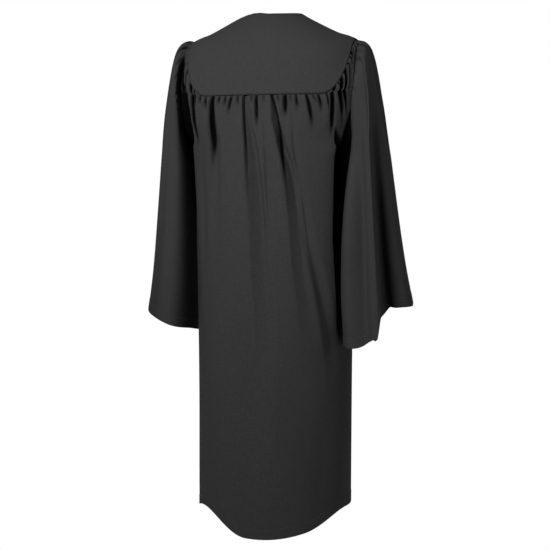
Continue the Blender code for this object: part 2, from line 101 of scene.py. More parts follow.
TAPE_HALF_GAP = 0.0004
TAPE_BEHIND = 0.0005         # from the fronts' form to the face of the tape
TAPE_WALL = 0.0007
TAPE_CORD = (0.0016, 0.0008, 0.0003)     # its place, half width and height
TOOTH_PITCH = 0.0025
TOOTH_STEM = (0.0008, 0.0030, 0.0010)
TOOTH_HEAD = (0.0013, 0.0011, 0.0013)
TOOTH_OUT = 0.0019           # from the centre to the middle of a tooth's stem
TOOTH_HEAD_IN = 0.0004       # from the middle of a tooth's head to the centre
TEETH_FIRST_ROW = NECKLINE_ROWS + 0.02
TEETH_LAST_ROW = ZIP_LAST_ROW - 0.12
TEETH_POINTS = 300
STOP_SIZE = (0.0084, 0.0015, 0.0050)
STOP_ROW = ZIP_LAST_ROW - 0.06
ZIP_LINE = 0.0001            # just beside the centre, where the zip's line is taken
BACK_COLUMNS = 312
BACK_ROWS = 146
BACK_NEAR_ROWS = 68          # of them, close together at the gathers
BACK_NEAR_SHARE = 0.15       # of the way down that they take up
YOKE_COLUMNS = 100           # on each side of the centre
YOKE_ROWS = 44
FRONT_COLUMNS = 72
FRONT_UPPER_ROWS = 46
FRONT_LOWER_ROWS = 60
TAPE_COLUMNS = 9
TAPE_ROWS = 150
SLEEVE_TURNS = 288
SLEEVE_ROWS = 150
SMALL_TURN = 0.5             # steps over which the form's slope is taken
SMALL_RUN = 0.002

Ring = namedtuple("Ring", "run side_x side_drop back_y back_drop front_y front_drop square")
BODY_RINGS = (
    Ring(0.000, 0.066, 0.003, 0.056, 0.010, 0.064, 0.030, 2.0),
    Ring(0.012, 0.074, 0.008, 0.067, 0.019, 0.073, 0.040, 2.1),
    Ring(0.050, 0.107, 0.026, 0.092, 0.048, 0.092, 0.068, 2.4),
    Ring(0.100, 0.151, 0.048, 0.113, 0.088, 0.109, 0.104, 2.7),
    Ring(0.150, 0.196, 0.067, 0.126, 0.130, 0.119, 0.142, 2.9),
    Ring(0.200, 0.220, 0.114, 0.134, 0.173, 0.125, 0.182, 3.0),
    Ring(0.250, 0.232, 0.172, 0.139, 0.216, 0.127, 0.222, 3.0),
    Ring(0.300, 0.222, 0.236, 0.142, 0.262, 0.128, 0.264, 2.9),
    Ring(0.360, 0.201, 0.312, 0.144, 0.320, 0.128, 0.320, 2.7),
    Ring(0.500, 0.191, 0.462, 0.147, 0.466, 0.129, 0.462, 2.5),
    Ring(0.800, 0.186, 0.770, 0.160, 0.783, 0.133, 0.768, 2.4),
    Ring(1.205, 0.185, 1.176, 0.186, 1.222, 0.146, 1.172, 2.2),
)

Section = namedtuple("Section", "run x y drop tilt across depth square")
SLEEVE_SECTIONS = (
    Section(0.10, 0.2200, -0.004, 0.200, 83.5, 0.1150, 0.103, 2.2),
    Section(0.22, 0.2320, -0.002, 0.272, 69.0, 0.0780, 0.107, 2.2),
    Section(0.38, 0.2400, 0.001, 0.362, 48.0, 0.0550, 0.113, 2.3),
    Section(0.55, 0.2490, 0.006, 0.480, 28.0, 0.0520, 0.122, 2.4),
    Section(0.78, 0.2590, 0.015, 0.624, 27.0, 0.0640, 0.140, 2.4),
    Section(1.00, 0.2690, 0.028, 0.738, 28.0, 0.0750, 0.162, 2.4),
)

Uneven = namedtuple("Uneven", "turn half_width drop")
CUFF_DROPS = {
    "right": (Uneven(0.0, 60.0, -0.006), Uneven(84.0, 24.0, 0.010), Uneven(118.0, 52.0, 0.024)),
    "left": (Uneven(-20.0, 80.0, 0.016),),
}
HEM_DROPS = (Uneven(-44.0, 36.0, -0.038), Uneven(64.0, 30.0, -0.012))


# ---------------------------------------------------------------- the form
def smooth(share):
    share = np.clip(share, 0.0, 1.0)
    return share * share * (3.0 - 2.0 * share)


def between(value, first, first_ease, last, last_ease):
    """1 between two places, with an ease after the first and one before the last."""
    return smooth((value - first) / first_ease) * smooth((last - value) / last_ease)


def bell(away):
    return np.exp(-away ** 2)


def unit(vectors):
    return vectors / np.maximum(np.linalg.norm(vectors, axis=-1, keepdims=True), 1e-12)


def at_run(table, run, column=1):
    """A column of a table, on straight lines between its rows."""
    return np.interp(run, [place[0] for place in table], [place[column] for place in table])


def curve_through(table, runs, run):
    """The columns of a table whose rows lie at given runs, on smooth curves through the rows."""
    last = len(runs) - 1
    low = np.clip(np.searchsorted(runs, run, side="left") - 1, 0, last - 1)
    before, after = np.maximum(low - 1, 0), np.minimum(low + 2, last)
    span = runs[low + 1] - runs[low]
    share = np.clip((run - runs[low]) / span, 0.0, 1.0)[..., None]
    start, end = table[low], table[low + 1]
    slope_start = (end - table[before]) * (span / (runs[low + 1] - runs[before]))[..., None]
    slope_end = (table[after] - start) * (span / (runs[after] - runs[low]))[..., None]
    square, cube = share ** 2, share ** 3
    return (start * (2 * cube - 3 * square + 1) + end * (3 * square - 2 * cube)
            + slope_start * (cube - 2 * square + share) + slope_end * (cube - square))


def length_along(points, axis):
    """Length along a grid of points, from its first row or column."""
    first = np.take(points, [0], axis=axis)
    return np.cumsum(np.linalg.norm(np.diff(points, axis=axis, prepend=first), axis=-1), axis=axis)


def rounded(turn, square):
    along, across = np.cos(np.radians(turn)), np.sin(np.radians(turn))
    reach = (np.abs(along) ** square + np.abs(across) ** square) ** (-1.0 / square)
    return along * reach, across * reach


def turn_distance(first, second):
    return np.abs((first - second + 180.0) % 360.0 - 180.0)


def swell_at(turn, middle, half_width):
    """1 at a turn, falling to 0 at a half width on either side."""
    return np.cos(np.minimum(turn_distance(turn, middle) / half_width, 1.0) * math.pi / 2.0) ** 2


def uneven_drop(table, turn):
    return sum(uneven.drop * swell_at(turn, uneven.turn, uneven.half_width) for uneven in table)


def ring_at(run):
    """The body's ring at an array of runs."""
    table = np.array(BODY_RINGS)
    values = curve_through(table, table[:, 0], run)
    return Ring(*(values[..., column] for column in range(len(Ring._fields))))


def body_point(turn, run):
    """Points of the gown's form, an array of (x, y, z)."""
    turn, run = np.broadcast_arrays(np.asarray(turn, dtype=float), np.asarray(run, dtype=float))
    ring = ring_at(run)
    backward, sideways = rounded(turn, ring.square)
    behind = backward > 0.0
    depth = np.where(behind, -ring.back_y, -ring.front_y)
    middle = np.where(behind, ring.back_drop, ring.front_drop)
    drop = ring.side_drop + (middle - ring.side_drop) * np.cos(np.radians(turn)) ** 2
    drop = drop + uneven_drop(HEM_DROPS, turn) * (run / HEM_RUN) ** 4
    return np.stack([ring.side_x * sideways, depth * backward, NECK_RISE - drop], axis=-1)


def body_normal(turn, run):
    """Outward direction of the gown's form, from its own points around each place."""
    around = body_point(turn + SMALL_TURN, run) - body_point(turn - SMALL_TURN, run)
    down = body_point(turn, run + SMALL_RUN) - body_point(turn, np.maximum(run - SMALL_RUN, 0.0))
    return unit(np.cross(down, around))


def raised_point(turn, run, height):
    """Points that stand off the gown's form by a height."""
    return body_point(turn, run) + body_normal(turn, run) * np.asarray(height)[..., None]


ARMHOLE_HALF = (UNDERARM_RUN - SHOULDER_RUN) / 2.0


def side_row_run(row):
    row = np.asarray(row, dtype=float)
    armhole = SHOULDER_RUN + ARMHOLE_HALF * (1.0 - np.cos(math.pi * np.minimum(row / ARMHOLE_ROWS, 1.0)))
    share = np.maximum((row - ARMHOLE_ROWS) / SIDE_ROWS, 0.0) ** ROW_GROWTH
    return np.where(row <= ARMHOLE_ROWS, armhole, UNDERARM_RUN + (HEM_RUN - UNDERARM_RUN) * share)


def row_share(row):
    return (side_row_run(row) - SHOULDER_RUN) / (HEM_RUN - SHOULDER_RUN)


def armhole_cut(run, reach):
    offset = (run - SHOULDER_RUN - ARMHOLE_HALF) / ARMHOLE_HALF
    return reach * np.sqrt(np.maximum(1.0 - offset * offset, 0.0))


# ---------------------------------------------------------------- the yoke's lower edge
def place_behind(x, drop):
    """(turn, run) of the points of the back at distances from the centre and below the neck edge."""
    run_low, run_high = np.zeros_like(x), np.full_like(x, 0.5)
    for _ in range(40):
        run = (run_low + run_high) / 2.0
        turn_low, turn_high = np.zeros_like(x), np.full_like(x, 90.0)
        for _ in range(40):
            turn = (turn_low + turn_high) / 2.0
            short = body_point(turn, run)[..., 0] < x
            turn_low, turn_high = np.where(short, turn, turn_low), np.where(short, turn_high, turn)
        above = NECK_RISE - body_point(turn, run)[..., 2] < drop
        run_low, run_high = np.where(above, run, run_low), np.where(above, run_high, run)
    return turn, run


def yoke_edge():
    """The right half of the yoke's lower edge: its length to, turn and run at close points."""
    corner_rise = YOKE_DROP - BODY_RINGS[4].side_drop
    flat = np.linspace(0.0, YOKE_FLAT, 20, endpoint=False)
    angle = np.radians(np.linspace(0.0, 90.0, 60))
    across = np.sin(angle) ** (2.0 / YOKE_CORNER_POWER)
    down = np.cos(angle) ** (2.0 / YOKE_CORNER_POWER)
    x = np.concatenate([flat, YOKE_FLAT + YOKE_CORNER * across])
    drop = np.concatenate([np.full_like(flat, YOKE_DROP), YOKE_DROP - corner_rise * (1.0 - down)])
    turn, run = place_behind(x, drop)
    turn[-1], run[-1] = 90.0, SHOULDER_RUN
    return length_along(body_point(turn, run), 0), turn, run


EDGE_LENGTH, EDGE_TURN, EDGE_RUN = yoke_edge()
HALF_EDGE = EDGE_LENGTH[-1]
CORNER = int(np.argmax(EDGE_RUN))


def edge_at(along):
    """(turn, run) at distances along the yoke's lower edge from the centre."""
    return np.interp(along, EDGE_LENGTH, EDGE_TURN), np.interp(along, EDGE_LENGTH, EDGE_RUN)


def seam_turn_at(run):
    turn = np.interp(-run, -EDGE_RUN[CORNER:], EDGE_TURN[CORNER:])
    return np.where(run > EDGE_RUN[CORNER], EDGE_TURN[CORNER], turn)


def back_turn(along, run):
    """Turn of a column of the back, squeezed in between the yoke's side and the armhole."""
    top_turn, top_run = edge_at(along)
    free_turn = top_turn + (90.0 * along / HALF_EDGE - top_turn) * smooth((run - top_run) / COLUMN_SETTLE)
    seam_turn = seam_turn_at(run)
    room = 90.0 - seam_turn
    squeezed = np.maximum(room - armhole_cut(run, ARMHOLE_BACK), 1e-6)
    share = np.clip((free_turn - seam_turn) / np.maximum(room, 1e-6), 0.0, 1.0)
    eased = 1.0 - (1.0 - share) ** (room / squeezed)
    held = seam_turn + squeezed * (share + SQUEEZE_EASE * (eased - share))
    return np.where(free_turn <= seam_turn, free_turn, held)


# ---------------------------------------------------------------- folds
# A gather runs down from the yoke's seam. top, middle and foot are its places along the seam, in
# metres from the centre back, at its start, half way and at its end. width is half of its crease at
# the seam and spread what that grows to at the foot. The cloth's columns follow those that guide.
Gather = namedtuple("Gather", "top middle foot length width spread depth guides")
BACK_GATHERS = (
    Gather(-0.345, -0.346, -0.346, 0.150, 0.0030, 0.0060, 0.0080, False),
    Gather(-0.322, -0.327, -0.330, 0.110, 0.0024, 0.0050, 0.0055, False),
    Gather(-0.300, -0.306, -0.310, 0.130, 0.0030, 0.0060, 0.0080, True),
    Gather(-0.276, -0.283, -0.288, 0.060, 0.0022, 0.0040, 0.0050, False),
    Gather(-0.252, -0.266, -0.278, 0.100, 0.0022, 0.0044, 0.0070, False),
    Gather(-0.230, -0.250, -0.258, 0.120, 0.0028, 0.0054, 0.0095, False),
    Gather(-0.190, -0.207, -0.204, 0.145, 0.0040, 0.0074, 0.0190, True),
    Gather(-0.173, -0.182, -0.188, 0.050, 0.0022, 0.0038, 0.0070, False),
    Gather(-0.153, -0.156, -0.160, 0.028, 0.0018, 0.0034, 0.0046, False),
    Gather(-0.135, -0.136, -0.138, 0.040, 0.0020, 0.0040, 0.0050, False),
    Gather(-0.116, -0.130, -0.146, 0.190, 0.0034, 0.0088, 0.0078, True),
    Gather(-0.099, -0.101, -0.103, 0.030, 0.0018, 0.0034, 0.0044, False),
    Gather(-0.085, -0.086, -0.088, 0.036, 0.0018, 0.0040, 0.0042, False),
    Gather(-0.069, -0.076, -0.083, 0.060, 0.0020, 0.0044, 0.0052, False),
    Gather(-0.055, -0.055, -0.056, 0.034, 0.0018, 0.0036, 0.0040, False),
    Gather(-0.041, -0.038, -0.029, 0.320, 0.0018, 0.0050, 0.0043, True),
    Gather(-0.023, -0.022, -0.021, 0.032, 0.0018, 0.0034, 0.0034, False),
    Gather(-0.011, -0.010, -0.009, 0.100, 0.0022, 0.0044, 0.0066, False),
    Gather(0.006, 0.007, 0.009, 0.028, 0.0016, 0.0032, 0.0030, False),
    Gather(0.023, 0.062, 0.083, 0.330, 0.0016, 0.0060, 0.0056, True),
    Gather(0.038, 0.041, 0.047, 0.030, 0.0016, 0.0034, 0.0034, False),
    Gather(0.056, 0.057, 0.060, 0.070, 0.0030, 0.0050, 0.0070, False),
    Gather(0.068, 0.070, 0.073, 0.028, 0.0016, 0.0032, 0.0032, False),
    Gather(0.081, 0.084, 0.090, 0.050, 0.0018, 0.0040, 0.0048, False),
    Gather(0.104, 0.119, 0.136, 0.100, 0.0022, 0.0054, 0.0064, True),
    Gather(0.118, 0.126, 0.138, 0.030, 0.0016, 0.0032, 0.0034, False),
    Gather(0.131, 0.139, 0.150, 0.052, 0.0020, 0.0040, 0.0050, False),
    Gather(0.153, 0.168, 0.184, 0.062, 0.0014, 0.0024, 0.0046, False),
    Gather(0.174, 0.192, 0.206, 0.120, 0.0032, 0.0072, 0.0110, True),
    Gather(0.186, 0.204, 0.220, 0.036, 0.0018, 0.0030, 0.0040, False),
    Gather(0.199, 0.236, 0.262, 0.130, 0.0034, 0.0074, 0.0130, False),
    Gather(0.210, 0.232, 0.250, 0.030, 0.0018, 0.0030, 0.0040, False),
    Gather(0.222, 0.258, 0.296, 0.135, 0.0032, 0.0070, 0.0125, False),
    Gather(0.238, 0.258, 0.272, 0.036, 0.0018, 0.0032, 0.0046, False),
    Gather(0.256, 0.280, 0.300, 0.044, 0.0020, 0.0034, 0.0050, False),
    Gather(0.271, 0.282, 0.292, 0.026, 0.0034, 0.0050, 0.0090, False),
    Gather(0.286, 0.306, 0.322, 0.070, 0.0020, 0.0036, 0.0050, False),
    Gather(0.308, 0.326, 0.336, 0.110, 0.0024, 0.0044, 0.0060, False),
    Gather(0.336, 0.342, 0.346, 0.090, 0.0022, 0.0040, 0.0050, False),
)
GUIDES = tuple(gather for gather in BACK_GATHERS if gather.guides)

# A soft fold: places along the seam at its start and end, both in metres, and how far down it runs.
Soft = namedtuple("Soft", "along_start along_end starts ends width depth")
BACK_SOFT = (
    Soft(-0.290, -0.250, 0.050, 0.420, 0.016, -0.0050),
    Soft(-0.215, -0.200, 0.100, 0.560, 0.022, 0.0036),
    Soft(-0.176, -0.184, 0.140, 0.420, 0.012, -0.0026),
    Soft(-0.085, -0.078, 0.060, 0.420, 0.022, 0.0030),
    Soft(0.022, 0.060, 0.480, 0.900, 0.022, 0.0034),
    Soft(-0.030, -0.010, 0.500, 0.900, 0.024, -0.0034),
    Soft(0.250, 0.240, 0.140, 0.480, 0.016, -0.0040),
    Soft(0.300, 0.290, 0.300, 0.800, 0.020, -0.0030),
    Soft(-0.320, -0.310, 0.380, 0.960, 0.024, -0.0040),
    Soft(-0.210, -0.230, 0.500, 1.000, 0.030, -0.0024),
    Soft(-0.120, -0.110, 0.560, 1.000, 0.028, 0.0024),
    Soft(0.200, 0.180, 0.660, 1.000, 0.024, -0.0024),
)

# A long fold with a crest: cloth rises to its line, falls away beyond it over its width and comes
# back over its ease. down and along place the line, in metres below the seam and along it.
Crest = namedtuple("Crest", "down along rise drop width ease")
BACK_CRESTS = (
    (
        Crest(0.000, -0.043, 0.0000, 0.0040, 0.005, 0.010),
        Crest(0.067, -0.041, 0.0016, 0.0062, 0.010, 0.012),
        Crest(0.131, -0.040, 0.0026, 0.0080, 0.020, 0.012),
        Crest(0.223, -0.036, 0.0030, 0.0092, 0.027, 0.014),
        Crest(0.305, -0.031, 0.0028, 0.0080, 0.029, 0.018),
        Crest(0.394, -0.027, 0.0022, 0.0060, 0.030, 0.022),
        Crest(0.544, -0.011, 0.0010, 0.0030, 0.030, 0.026),
        Crest(0.740, 0.000, 0.0000, 0.0000, 0.030, 0.030),
    ),
    (
        Crest(0.050, 0.003, 0.0000, 0.0000, 0.004, 0.006),
        Crest(0.100, 0.006, 0.0008, 0.0014, 0.005, 0.008),
        Crest(0.177, 0.010, 0.0012, 0.0022, 0.006, 0.010),
        Crest(0.262, 0.014, 0.0012, 0.0022, 0.007, 0.012),
        Crest(0.420, 0.024, 0.0000, 0.0000, 0.008, 0.014),
    ),
    (
        Crest(0.000, 0.021, 0.0000, 0.0040, 0.004, 0.008),
        Crest(0.065, 0.026, 0.0020, 0.0080, 0.009, 0.012),
        Crest(0.121, 0.043, 0.0030, 0.0100, 0.011, 0.016),
        Crest(0.161, 0.060, 0.0032, 0.0098, 0.013, 0.016),
        Crest(0.202, 0.069, 0.0032, 0.0086, 0.018, 0.014),
        Crest(0.262, 0.074, 0.0030, 0.0076, 0.022, 0.014),
        Crest(0.306, 0.079, 0.0026, 0.0064, 0.024, 0.016),
        Crest(0.395, 0.089, 0.0020, 0.0044, 0.026, 0.020),
        Crest(0.560, 0.122, 0.0000, 0.0000, 0.028, 0.024),
    ),
    (
        Crest(0.040, 0.069, 0.0000, 0.0000, 0.004, 0.006),
        Crest(0.100, 0.077, 0.0007, 0.0014, 0.006, 0.010),
        Crest(0.160, 0.087, 0.0010, 0.0022, 0.008, 0.012),
        Crest(0.261, 0.102, 0.0016, 0.0046, 0.015, 0.016),
        Crest(0.333, 0.114, 0.0020, 0.0058, 0.018, 0.018),
        Crest(0.434, 0.148, 0.0020, 0.0056, 0.020, 0.022),
        Crest(0.551, 0.180, 0.0012, 0.0030, 0.024, 0.026),
        Crest(0.680, 0.200, 0.0000, 0.0000, 0.026, 0.028),
    ),
    (
        Crest(0.000, -0.119, 0.0000, 0.0000, 0.004, 0.006),
        Crest(0.092, -0.134, 0.0010, 0.0034, 0.010, 0.014),
        Crest(0.170, -0.150, 0.0016, 0.0046, 0.016, 0.020),
        Crest(0.270, -0.160, 0.0010, 0.0026, 0.020, 0.026),
        Crest(0.420, -0.168, 0.0000, 0.0000, 0.024, 0.030),
    ),
)
# The edges at which the back turns in beside the sleeves: how far below the seam, where along it.
TUCK_EDGE = ((0.000, 0.192), (0.080, 0.187), (0.100, 0.180), (0.120, 0.169), (0.145, 0.164), (0.200, 0.163),
             (0.330, 0.168), (0.400, 0.178), (0.470, 0.189), (0.540, 0.199), (0.600, 0.224))
LEFT_TUCK_EDGE = ((0.000, -0.330), (0.020, -0.286), (0.040, -0.256), (0.055, -0.238), (0.070, -0.226),
                  (0.105, -0.225), (0.160, -0.228), (0.260, -0.236), (0.400, -0.250))
# The tuck on the right begins on a slanting line: how far below the seam, from which column, and
# how much lower for each metre of the seam.
TUCK_TOP = 0.078
TUCK_TOP_COLUMN = 0.178
TUCK_TOP_SLANT = 1.1
TUCK_FOOT = 0.640
LEFT_TUCK_TOP = 0.020
LEFT_TUCK_FOOT = 0.360


def gather_path(gather, down):
    """Place along the seam of a gather, at distances below the seam."""
    share = np.clip(down / gather.length, 0.0, 1.0)
    return (gather.top * (1.0 - share) * (1.0 - 2.0 * share) + gather.middle * 4.0 * share * (1.0 - share)
            + gather.foot * share * (2.0 * share - 1.0))


def gather_depth(gather, length):
    """Share of a gather's way that lengths from its seam make, and the depth of its crease there."""
    share = np.clip(length / gather.length, 0.0, 1.0)
    return share, gather.depth * smooth((1.0 - share) / GATHER_FADE) * smooth(length / GATHER_START)


def gather_height(gathers, along, down, pitch):
    """Height of the cloth from its gathers, and the crease's part of it. pitch is the real width of a
    metre of the seam there."""
    crease = np.zeros_like(down)
    roll = np.zeros_like(down)
    for gather in gathers:
        share, depth = gather_depth(gather, down)
        width = GATHER_WIDTH * (gather.width + (gather.spread - gather.width) * share)
        away = np.abs(along - gather_path(gather, down)) * pitch / width
        crease = np.minimum(crease, -GATHER_DEPTH * depth * np.exp(-away ** 1.5))
        roll += GATHER_ROLL * GATHER_DEPTH * depth * bell(away / 3.2)
    return crease + np.minimum(roll, HIGHEST_ROLL), crease


def soft_height(folds, along, down, pitch):
    """Height of the cloth from broad folds that fade at both ends."""
    height = np.zeros_like(down)
    for fold in folds:
        share = (down - fold.starts) / (fold.ends - fold.starts)
        middle = fold.along_start + (fold.along_end - fold.along_start) * np.clip(share, 0.0, 1.0)
        depth = fold.depth * between(share, 0.0, 0.35, 1.0, 0.45)
        height += depth * bell((along - middle) * pitch / fold.width)
    return height


def crest_height(crests, along, down, pitch):
    """Height of the cloth from its crested folds."""
    height = np.zeros_like(down)
    for crest in crests:
        line, rise, drop, width, ease = (at_run(crest, down, column) for column in range(1, 6))
        rise, drop = CREST_HEIGHT * rise, CREST_HEIGHT * drop
        away = (along - line) * pitch
        before = rise * bell(np.minimum(away, 0.0) / CREST_APPROACH)
        share = np.clip(away / width, 0.0, 1.0)
        falling = rise - (rise + drop) * (0.55 * share + 0.45 * np.sin(share * math.pi / 2.0))
        after = -drop * (1.0 - smooth((away - width) / ease))
        height += np.where(away < 0.0, before, np.where(share < 1.0, falling, after))
    return height


def drawn_along(guides, column, down, end):
    """Where a column has gone to along the seam, between guides that it keeps its share of."""
    tops = np.array([-end] + [guide.top for guide in guides] + [end])
    paths = np.stack([np.full_like(down, -end)] + [gather_path(guide, down) for guide in guides]
                     + [np.full_like(down, end)], axis=-1)
    cell = np.clip(np.searchsorted(tops, column, side="right") - 1, 0, len(tops) - 2)
    share = (column - tops[cell]) / (tops[cell + 1] - tops[cell])
    start = np.take_along_axis(paths, cell[..., None], axis=-1)[..., 0]
    stop = np.take_along_axis(paths, cell[..., None] + 1, axis=-1)[..., 0]
    return start + (stop - start) * share


# ---------------------------------------------------------------- the panels
def side_tuck(column, along, down):
    """How far the back has turned in beside the right and the left sleeve, each from 0 to 1, the swell
    before the right one and the shade in the left one."""
    past = column - at_run(TUCK_EDGE, down)
    top = TUCK_TOP + TUCK_TOP_SLANT * np.clip(column - TUCK_TOP_COLUMN, 0.0, 0.050)
    level = between(down, top, 0.055, TUCK_FOOT, 0.20)
    turned = smooth(past / 0.020) * smooth((HALF_EDGE - 0.004 - column) / 0.050)
    swell = bell(np.minimum(past + 0.004, 0.0) / 0.050) * (1.0 - turned)
    swell = level * swell * smooth((HALF_EDGE - column) / 0.1)
    left = between(down, LEFT_TUCK_TOP, 0.030, LEFT_TUCK_FOOT, 0.12)
    left = left * smooth((at_run(LEFT_TUCK_EDGE, down) - along) / 0.016)
    shade = left * smooth((down - 0.070) / 0.035)
    return level * turned, left * smooth((HALF_EDGE - 0.003 + along) / 0.030), swell, shade


def back_rows():
    """Shares of the way down of the back's rows: even at the gathers, then wider and wider apart."""
    near = np.linspace(0.0, BACK_NEAR_SHARE, BACK_NEAR_ROWS, endpoint=False)
    count = BACK_ROWS - BACK_NEAR_ROWS
    even = np.arange(count) * near[1]
    widening = (np.arange(count) / (count - 1.0)) ** 1.6
    far = BACK_NEAR_SHARE + even + (1.0 - BACK_NEAR_SHARE - even[-1]) * widening
    return np.concatenate([near, far])


def back_points():
    """The gathered back: rows of points from under the yoke to the hem, their place in the cloth and the
    painted shade in its creases and tucks.
    """
    column = np.linspace(-HALF_EDGE, HALF_EDGE, BACK_COLUMNS)[None, :]
    top_run = edge_at(np.abs(column))[1]
    run = top_run - TOP_TURNING + (HEM_RUN - top_run + TOP_TURNING) * back_rows()[:, None]
    down = np.maximum(run - top_run, 0.0)
    column = column + 0.0 * run
    along = drawn_along(GUIDES, column, down, HALF_EDGE)
    turn = back_turn(np.abs(along), run) * np.sign(along)
    form = body_point(turn, run)
    steps = np.linalg.norm(np.gradient(form, axis=1), axis=-1)
    pitch = np.clip(steps / np.maximum(np.gradient(along, axis=1), 1e-5), 0.4, 1.6)
    side = smooth((HALF_EDGE - np.abs(column)) / 0.014)
    height, crease = gather_height(BACK_GATHERS, along, down, pitch)
    folds = soft_height(BACK_SOFT, along, down, pitch) + crest_height(BACK_CRESTS, along, down, pitch)
    height = height * (0.2 + 0.8 * side) + folds * side
    height = height + TOP_SWELL * smooth(down / 0.012) * np.exp(-down / 0.10)
    height = height - UNDER_YOKE * (1.0 - smooth(down / GATHER_START))
    right_tuck, left_tuck, swell, left_shade = side_tuck(column, along, down)
    height = height * (1.0 - 0.7 * left_tuck) + TUCK_SWELL * swell
    height = height - SIDE_TUCK * right_tuck - LEFT_TUCK * left_tuck
    outer = form + body_normal(turn, run) * (height + CLOTH - BEHIND)[..., None]
    # painted shade: the cloth is darkened in its creases, in the tucks beside both sleeves and in the left
    # one's shade
    painted_shade = np.maximum.reduce([np.minimum(-crease / PAINTED_SHADE_DEPTH, 1.0) ** 1.5, right_tuck ** 1.6, left_tuck,
                              left_shade])
    return outer, np.stack([column, -down], axis=-1), painted_shade


def yoke_points():
    """The yoke: rows of points from the neck edge to its lower edge."""
    along = np.linspace(0.0, HALF_EDGE, YOKE_COLUMNS)
    along = np.concatenate([-along[:0:-1], along])[None, :]
    down = np.linspace(0.0, 1.0, YOKE_ROWS)[:, None]
    edge_turn, edge_run = edge_at(np.abs(along))
    neck_turn = 90.0 * np.abs(along) / HALF_EDGE
    turn = np.sign(along) * (neck_turn + (edge_turn - neck_turn) * down)
    run = edge_run * down
    height = YOKE_FOLD * smooth((down - 0.90) / 0.10) + CLOTH - BEHIND
    outer = raised_point(turn, run, height)
    outer[..., 2] += NECK_LEVEL * between(along, -0.25, 0.10, 0.0, 0.10) * (1.0 - smooth(down / 0.3))
    return outer, np.stack([along + 0.0 * run, -run], axis=-1), 0.0 * run


FRONT_SOFT = (
    Soft(0.034, 0.040, 0.200, 0.860, 0.011, -0.0040),
    Soft(0.060, 0.066, 0.130, 0.560, 0.010, 0.0030),
    Soft(0.082, 0.094, 0.090, 1.020, 0.012, -0.0048),
    Soft(0.108, 0.124, 0.060, 0.520, 0.011, 0.0034),
    Soft(0.130, 0.152, 0.060, 0.900, 0.012, -0.0050),
    Soft(0.158, 0.184, 0.240, 0.640, 0.014, 0.0036),
    Soft(0.190, 0.214, 0.300, 1.100, 0.014, -0.0040),
)


def turn_at(run, x):
    """Turn of the places of the front at a distance from its centre."""
    return 180.0 - np.degrees(np.arcsin(x / ring_at(run).side_x))


def front_points(side):
    """A front: rows of points from the neckline to the hem, from the centre out to the armhole."""
    across = np.linspace(0.0, 1.0, FRONT_COLUMNS)[None, :]
    upper = ARMHOLE_ROWS * np.linspace(0.0, 1.0, FRONT_UPPER_ROWS, endpoint=False) ** 1.15
    lower = np.linspace(ARMHOLE_ROWS, ARMHOLE_ROWS + SIDE_ROWS, FRONT_LOWER_ROWS)
    rows = np.concatenate([upper, lower])[:, None]
    down = row_share(rows)
    inner_run = HEM_RUN * down
    foot = row_share(NECKLINE_ROWS)
    inner_turn = 90.0 + (turn_at(inner_run, ZIP_HALF_GAP) - 90.0) * np.minimum(down / foot, 1.0)
    outer_run = side_row_run(rows)
    cut = armhole_cut(outer_run, ARMHOLE_FRONT) * across ** 5
    turn = side * (inner_turn + (90.0 - inner_turn) * across + cut)
    run = inner_run + (outer_run - inner_run) * across
    form = body_point(turn, run)
    along = length_along(form, 1) + np.abs(form[:, :1, 0])
    height = soft_height(FRONT_SOFT, along, run, 1.0) * between(across, 0.0, 0.12, 1.0, 0.10)
    outer = raised_point(turn, run, height + CLOTH - BEHIND)
    return outer, np.stack([side * along, -run], axis=-1), 0.0 * run


def on_front(side, row, x, height):
    """A point at a distance x from the centre front, in the rows of the fronts."""
    run = HEM_RUN * row_share(row)
    return raised_point(side * turn_at(run, x), run, height)


def tape_points(side):
    """A zip tape, with the cord along its inner edge."""
    row = np.linspace(NECKLINE_ROWS, ZIP_LAST_ROW, TAPE_ROWS)[:, None]
    x = np.linspace(TAPE_HALF_GAP, TAPE_WIDTH, TAPE_COLUMNS)[None, :] + 0.0 * row
    cord_at, cord_half_width, cord_height = TAPE_CORD
    cord = cord_height * bell((x - cord_at) / cord_half_width)
    points = on_front(side, row, x, cord - TAPE_BEHIND)
    run = HEM_RUN * row_share(row) + 0.0 * x
    return points, np.stack([side * x, -run], axis=-1), 0.0 * x


# ---------------------------------------------------------------- the sleeves
# Folds that run down a sleeve, by turn at the armhole and at the cuff, and how far it is pressed in
# or stands out at the cuff.
SleeveFold = namedtuple("SleeveFold", "head_turn cuff_turn half_width depth begins full")
SLEEVE_FOLDS = {
    "right": (
        SleeveFold(80.0, 84.0, 26.0, 0.014, 0.05, 1.00),
        SleeveFold(52.0, 52.0, 34.0, -0.046, 0.08, 1.00),
        SleeveFold(138.0, 140.0, 38.0, 0.048, 0.04, 0.65),
        SleeveFold(290.0, 300.0, 40.0, -0.018, 0.30, 1.00),
    ),
    "left": (
        SleeveFold(20.0, 20.0, 70.0, -0.022, 0.10, 1.00),
        SleeveFold(58.0, 54.0, 36.0, -0.020, 0.05, 1.00),
        SleeveFold(128.0, 132.0, 30.0, 0.012, 0.35, 1.00),
        SleeveFold(300.0, 305.0, 40.0, -0.016, 0.30, 1.00),
    ),
}

